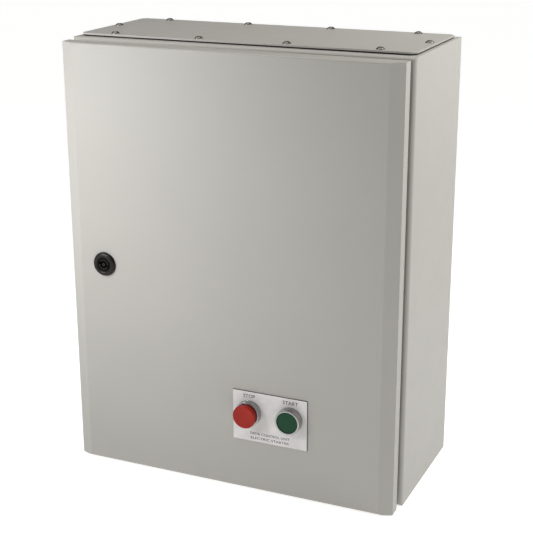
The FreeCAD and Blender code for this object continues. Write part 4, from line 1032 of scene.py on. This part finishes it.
def smooth_points(name, route, resolution=12):
    """Points along a smooth curve that has the route's points as its control points."""
    curve = bpy.data.curves.new(name, "CURVE")
    curve.dimensions = "3D"
    spline = curve.splines.new("NURBS")
    spline.points.add(len(route) - 1)
    for point, place in zip(spline.points, route):
        point.co = (*[value * MM for value in place], 1.0)
    spline.order_u = 3
    spline.use_endpoint_u = True
    spline.resolution_u = resolution
    source = link_object(name, curve)
    bpy.context.view_layer.update()
    graph = bpy.context.evaluated_depsgraph_get()
    mesh = bpy.data.meshes.new_from_object(source.evaluated_get(graph))
    points = [vertex.co.copy() for vertex in mesh.vertices]
    bpy.data.objects.remove(source)
    return points


def build_power_leads():
    """Supply leads to the contactor and motor leads back through the trunking.

    All places are in millimetres. Each motor lead has its own layer, row and lane, so that
    no two leads cross inside the trunking.
    """
    poles = (-43, -15, 13)
    colours = ("lead_brown", "lead_insulation", "lead_grey")
    first_terminal, terminal_pitch, feed_y, feed_z, bend_z = -70.15, 10, 46.5, 404.5, 395
    line_y, line_bend_z, line_z = 6.8, 371.8, 356.3
    load_y, load_z, load_bend_z, load_bend = 5.8, 163.4, 151.9, 12
    supply_first, deepest, layer_step = 3, 50, 9
    duct_low, duct_high, row_step = 145, 382.5, 12.5
    duct_first, lane_step, beside = -156, 5, -112
    hidden = ["power_leads"]
    for index, pole in enumerate(poles):
        x = first_terminal + (supply_first + index) * terminal_pitch
        supply = [(x, feed_y, feed_z), (x, feed_y, bend_z), (pole, line_y, line_bend_z),
                  (pole, line_y, line_z)]
        obj = tube_along(f"supply_lead_{index + 1}", smooth_points("route", supply),
                         LEAD_RADIUS, sides=20)
        finish_piece(obj, colours[index], "enclosure", hidden)
        hidden = []
    for index, pole in enumerate(poles):
        x, deep = first_terminal + index * terminal_pitch, deepest - index * layer_step
        low, high = duct_low - index * row_step, duct_high - index * row_step
        inside = duct_first + index * lane_step
        route = [(pole, load_y, load_z), (pole, load_y, load_bend_z),
                 (pole - load_bend, (load_y + deep) / 2, low),
                 (beside, deep, low), (inside, deep, low), (inside, deep, (low + high) / 2),
                 (inside, deep, high), (beside, deep, high), (x, feed_y, high),
                 (x, feed_y, feed_z)]
        obj = tube_along(f"motor_lead_{index + 1}", smooth_points("route", route),
                         LEAD_RADIUS, sides=20)
        finish_piece(obj, colours[index], "enclosure")


def build_door_leads():
    """Spiral-wrapped control loom and earth lead.

    The routes are in millimetres.
    """
    loom_route = [(93.5, -78.5, 87.6), (109.5, -78.5, 87.6), (131.5, -84, 77.6),
                  (150, -96, 71.6), (165, -88, 77.6), (170, -60, 89.6), (168, -20, 101.6),
                  (158, 20, 117.6), (136, 46, 147.6), (100, 58, 183.6), (60, 58, 195.6),
                  (27, 58, 195.6)]
    earth_route = [(150, -112.4, 45), (150, -103, 45), (165, -92, 50), (171, -66, 54),
                   (178, -40, 52), (188, -30, 48), (198.4, -30, 48)]
    core_radius, wrap_rise, wraps, resolution, sides = 3.6, 0.35, 62, 24, 24

    def wrapped(share):
        return (core_radius + wrap_rise * math.sin(share * math.pi * 2 * wraps) ** 2) * MM

    loom_path = smooth_points("route", loom_route, resolution)
    loom = tube_along("door_loom", loom_path, wrapped, sides=20)
    earth = tube_along("door_earth_lead", smooth_points("route", earth_route, resolution),
                       LEAD_RADIUS, sides)
    earth.data.materials.clear()
    earth.data.materials.append(MATERIALS["earth_plastic"])
    earth.data.materials.append(MATERIALS["lead_yellow"])
    yellow = (0, 1, 2, 12, 13, 14)
    for index, polygon in enumerate(earth.data.polygons):
        polygon.material_index = 1 if index % sides in yellow else 0
    loom.data.materials.append(MATERIALS["lead_insulation"])
    for piece in (loom, earth):
        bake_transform(piece)
    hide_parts("door_leads")


def main():
    add_camera()
    add_stage()
    build_shell()
    build_gland_screws()
    build_lock()
    build_legend()
    for name in ("stop", "start"):
        build_bezel(name)
        build_button_inner(name)
    build_heads()
    build_panel()
    build_contactor()
    build_overload()
    build_rail_gear()
    build_power_leads()
    build_door_leads()


main()
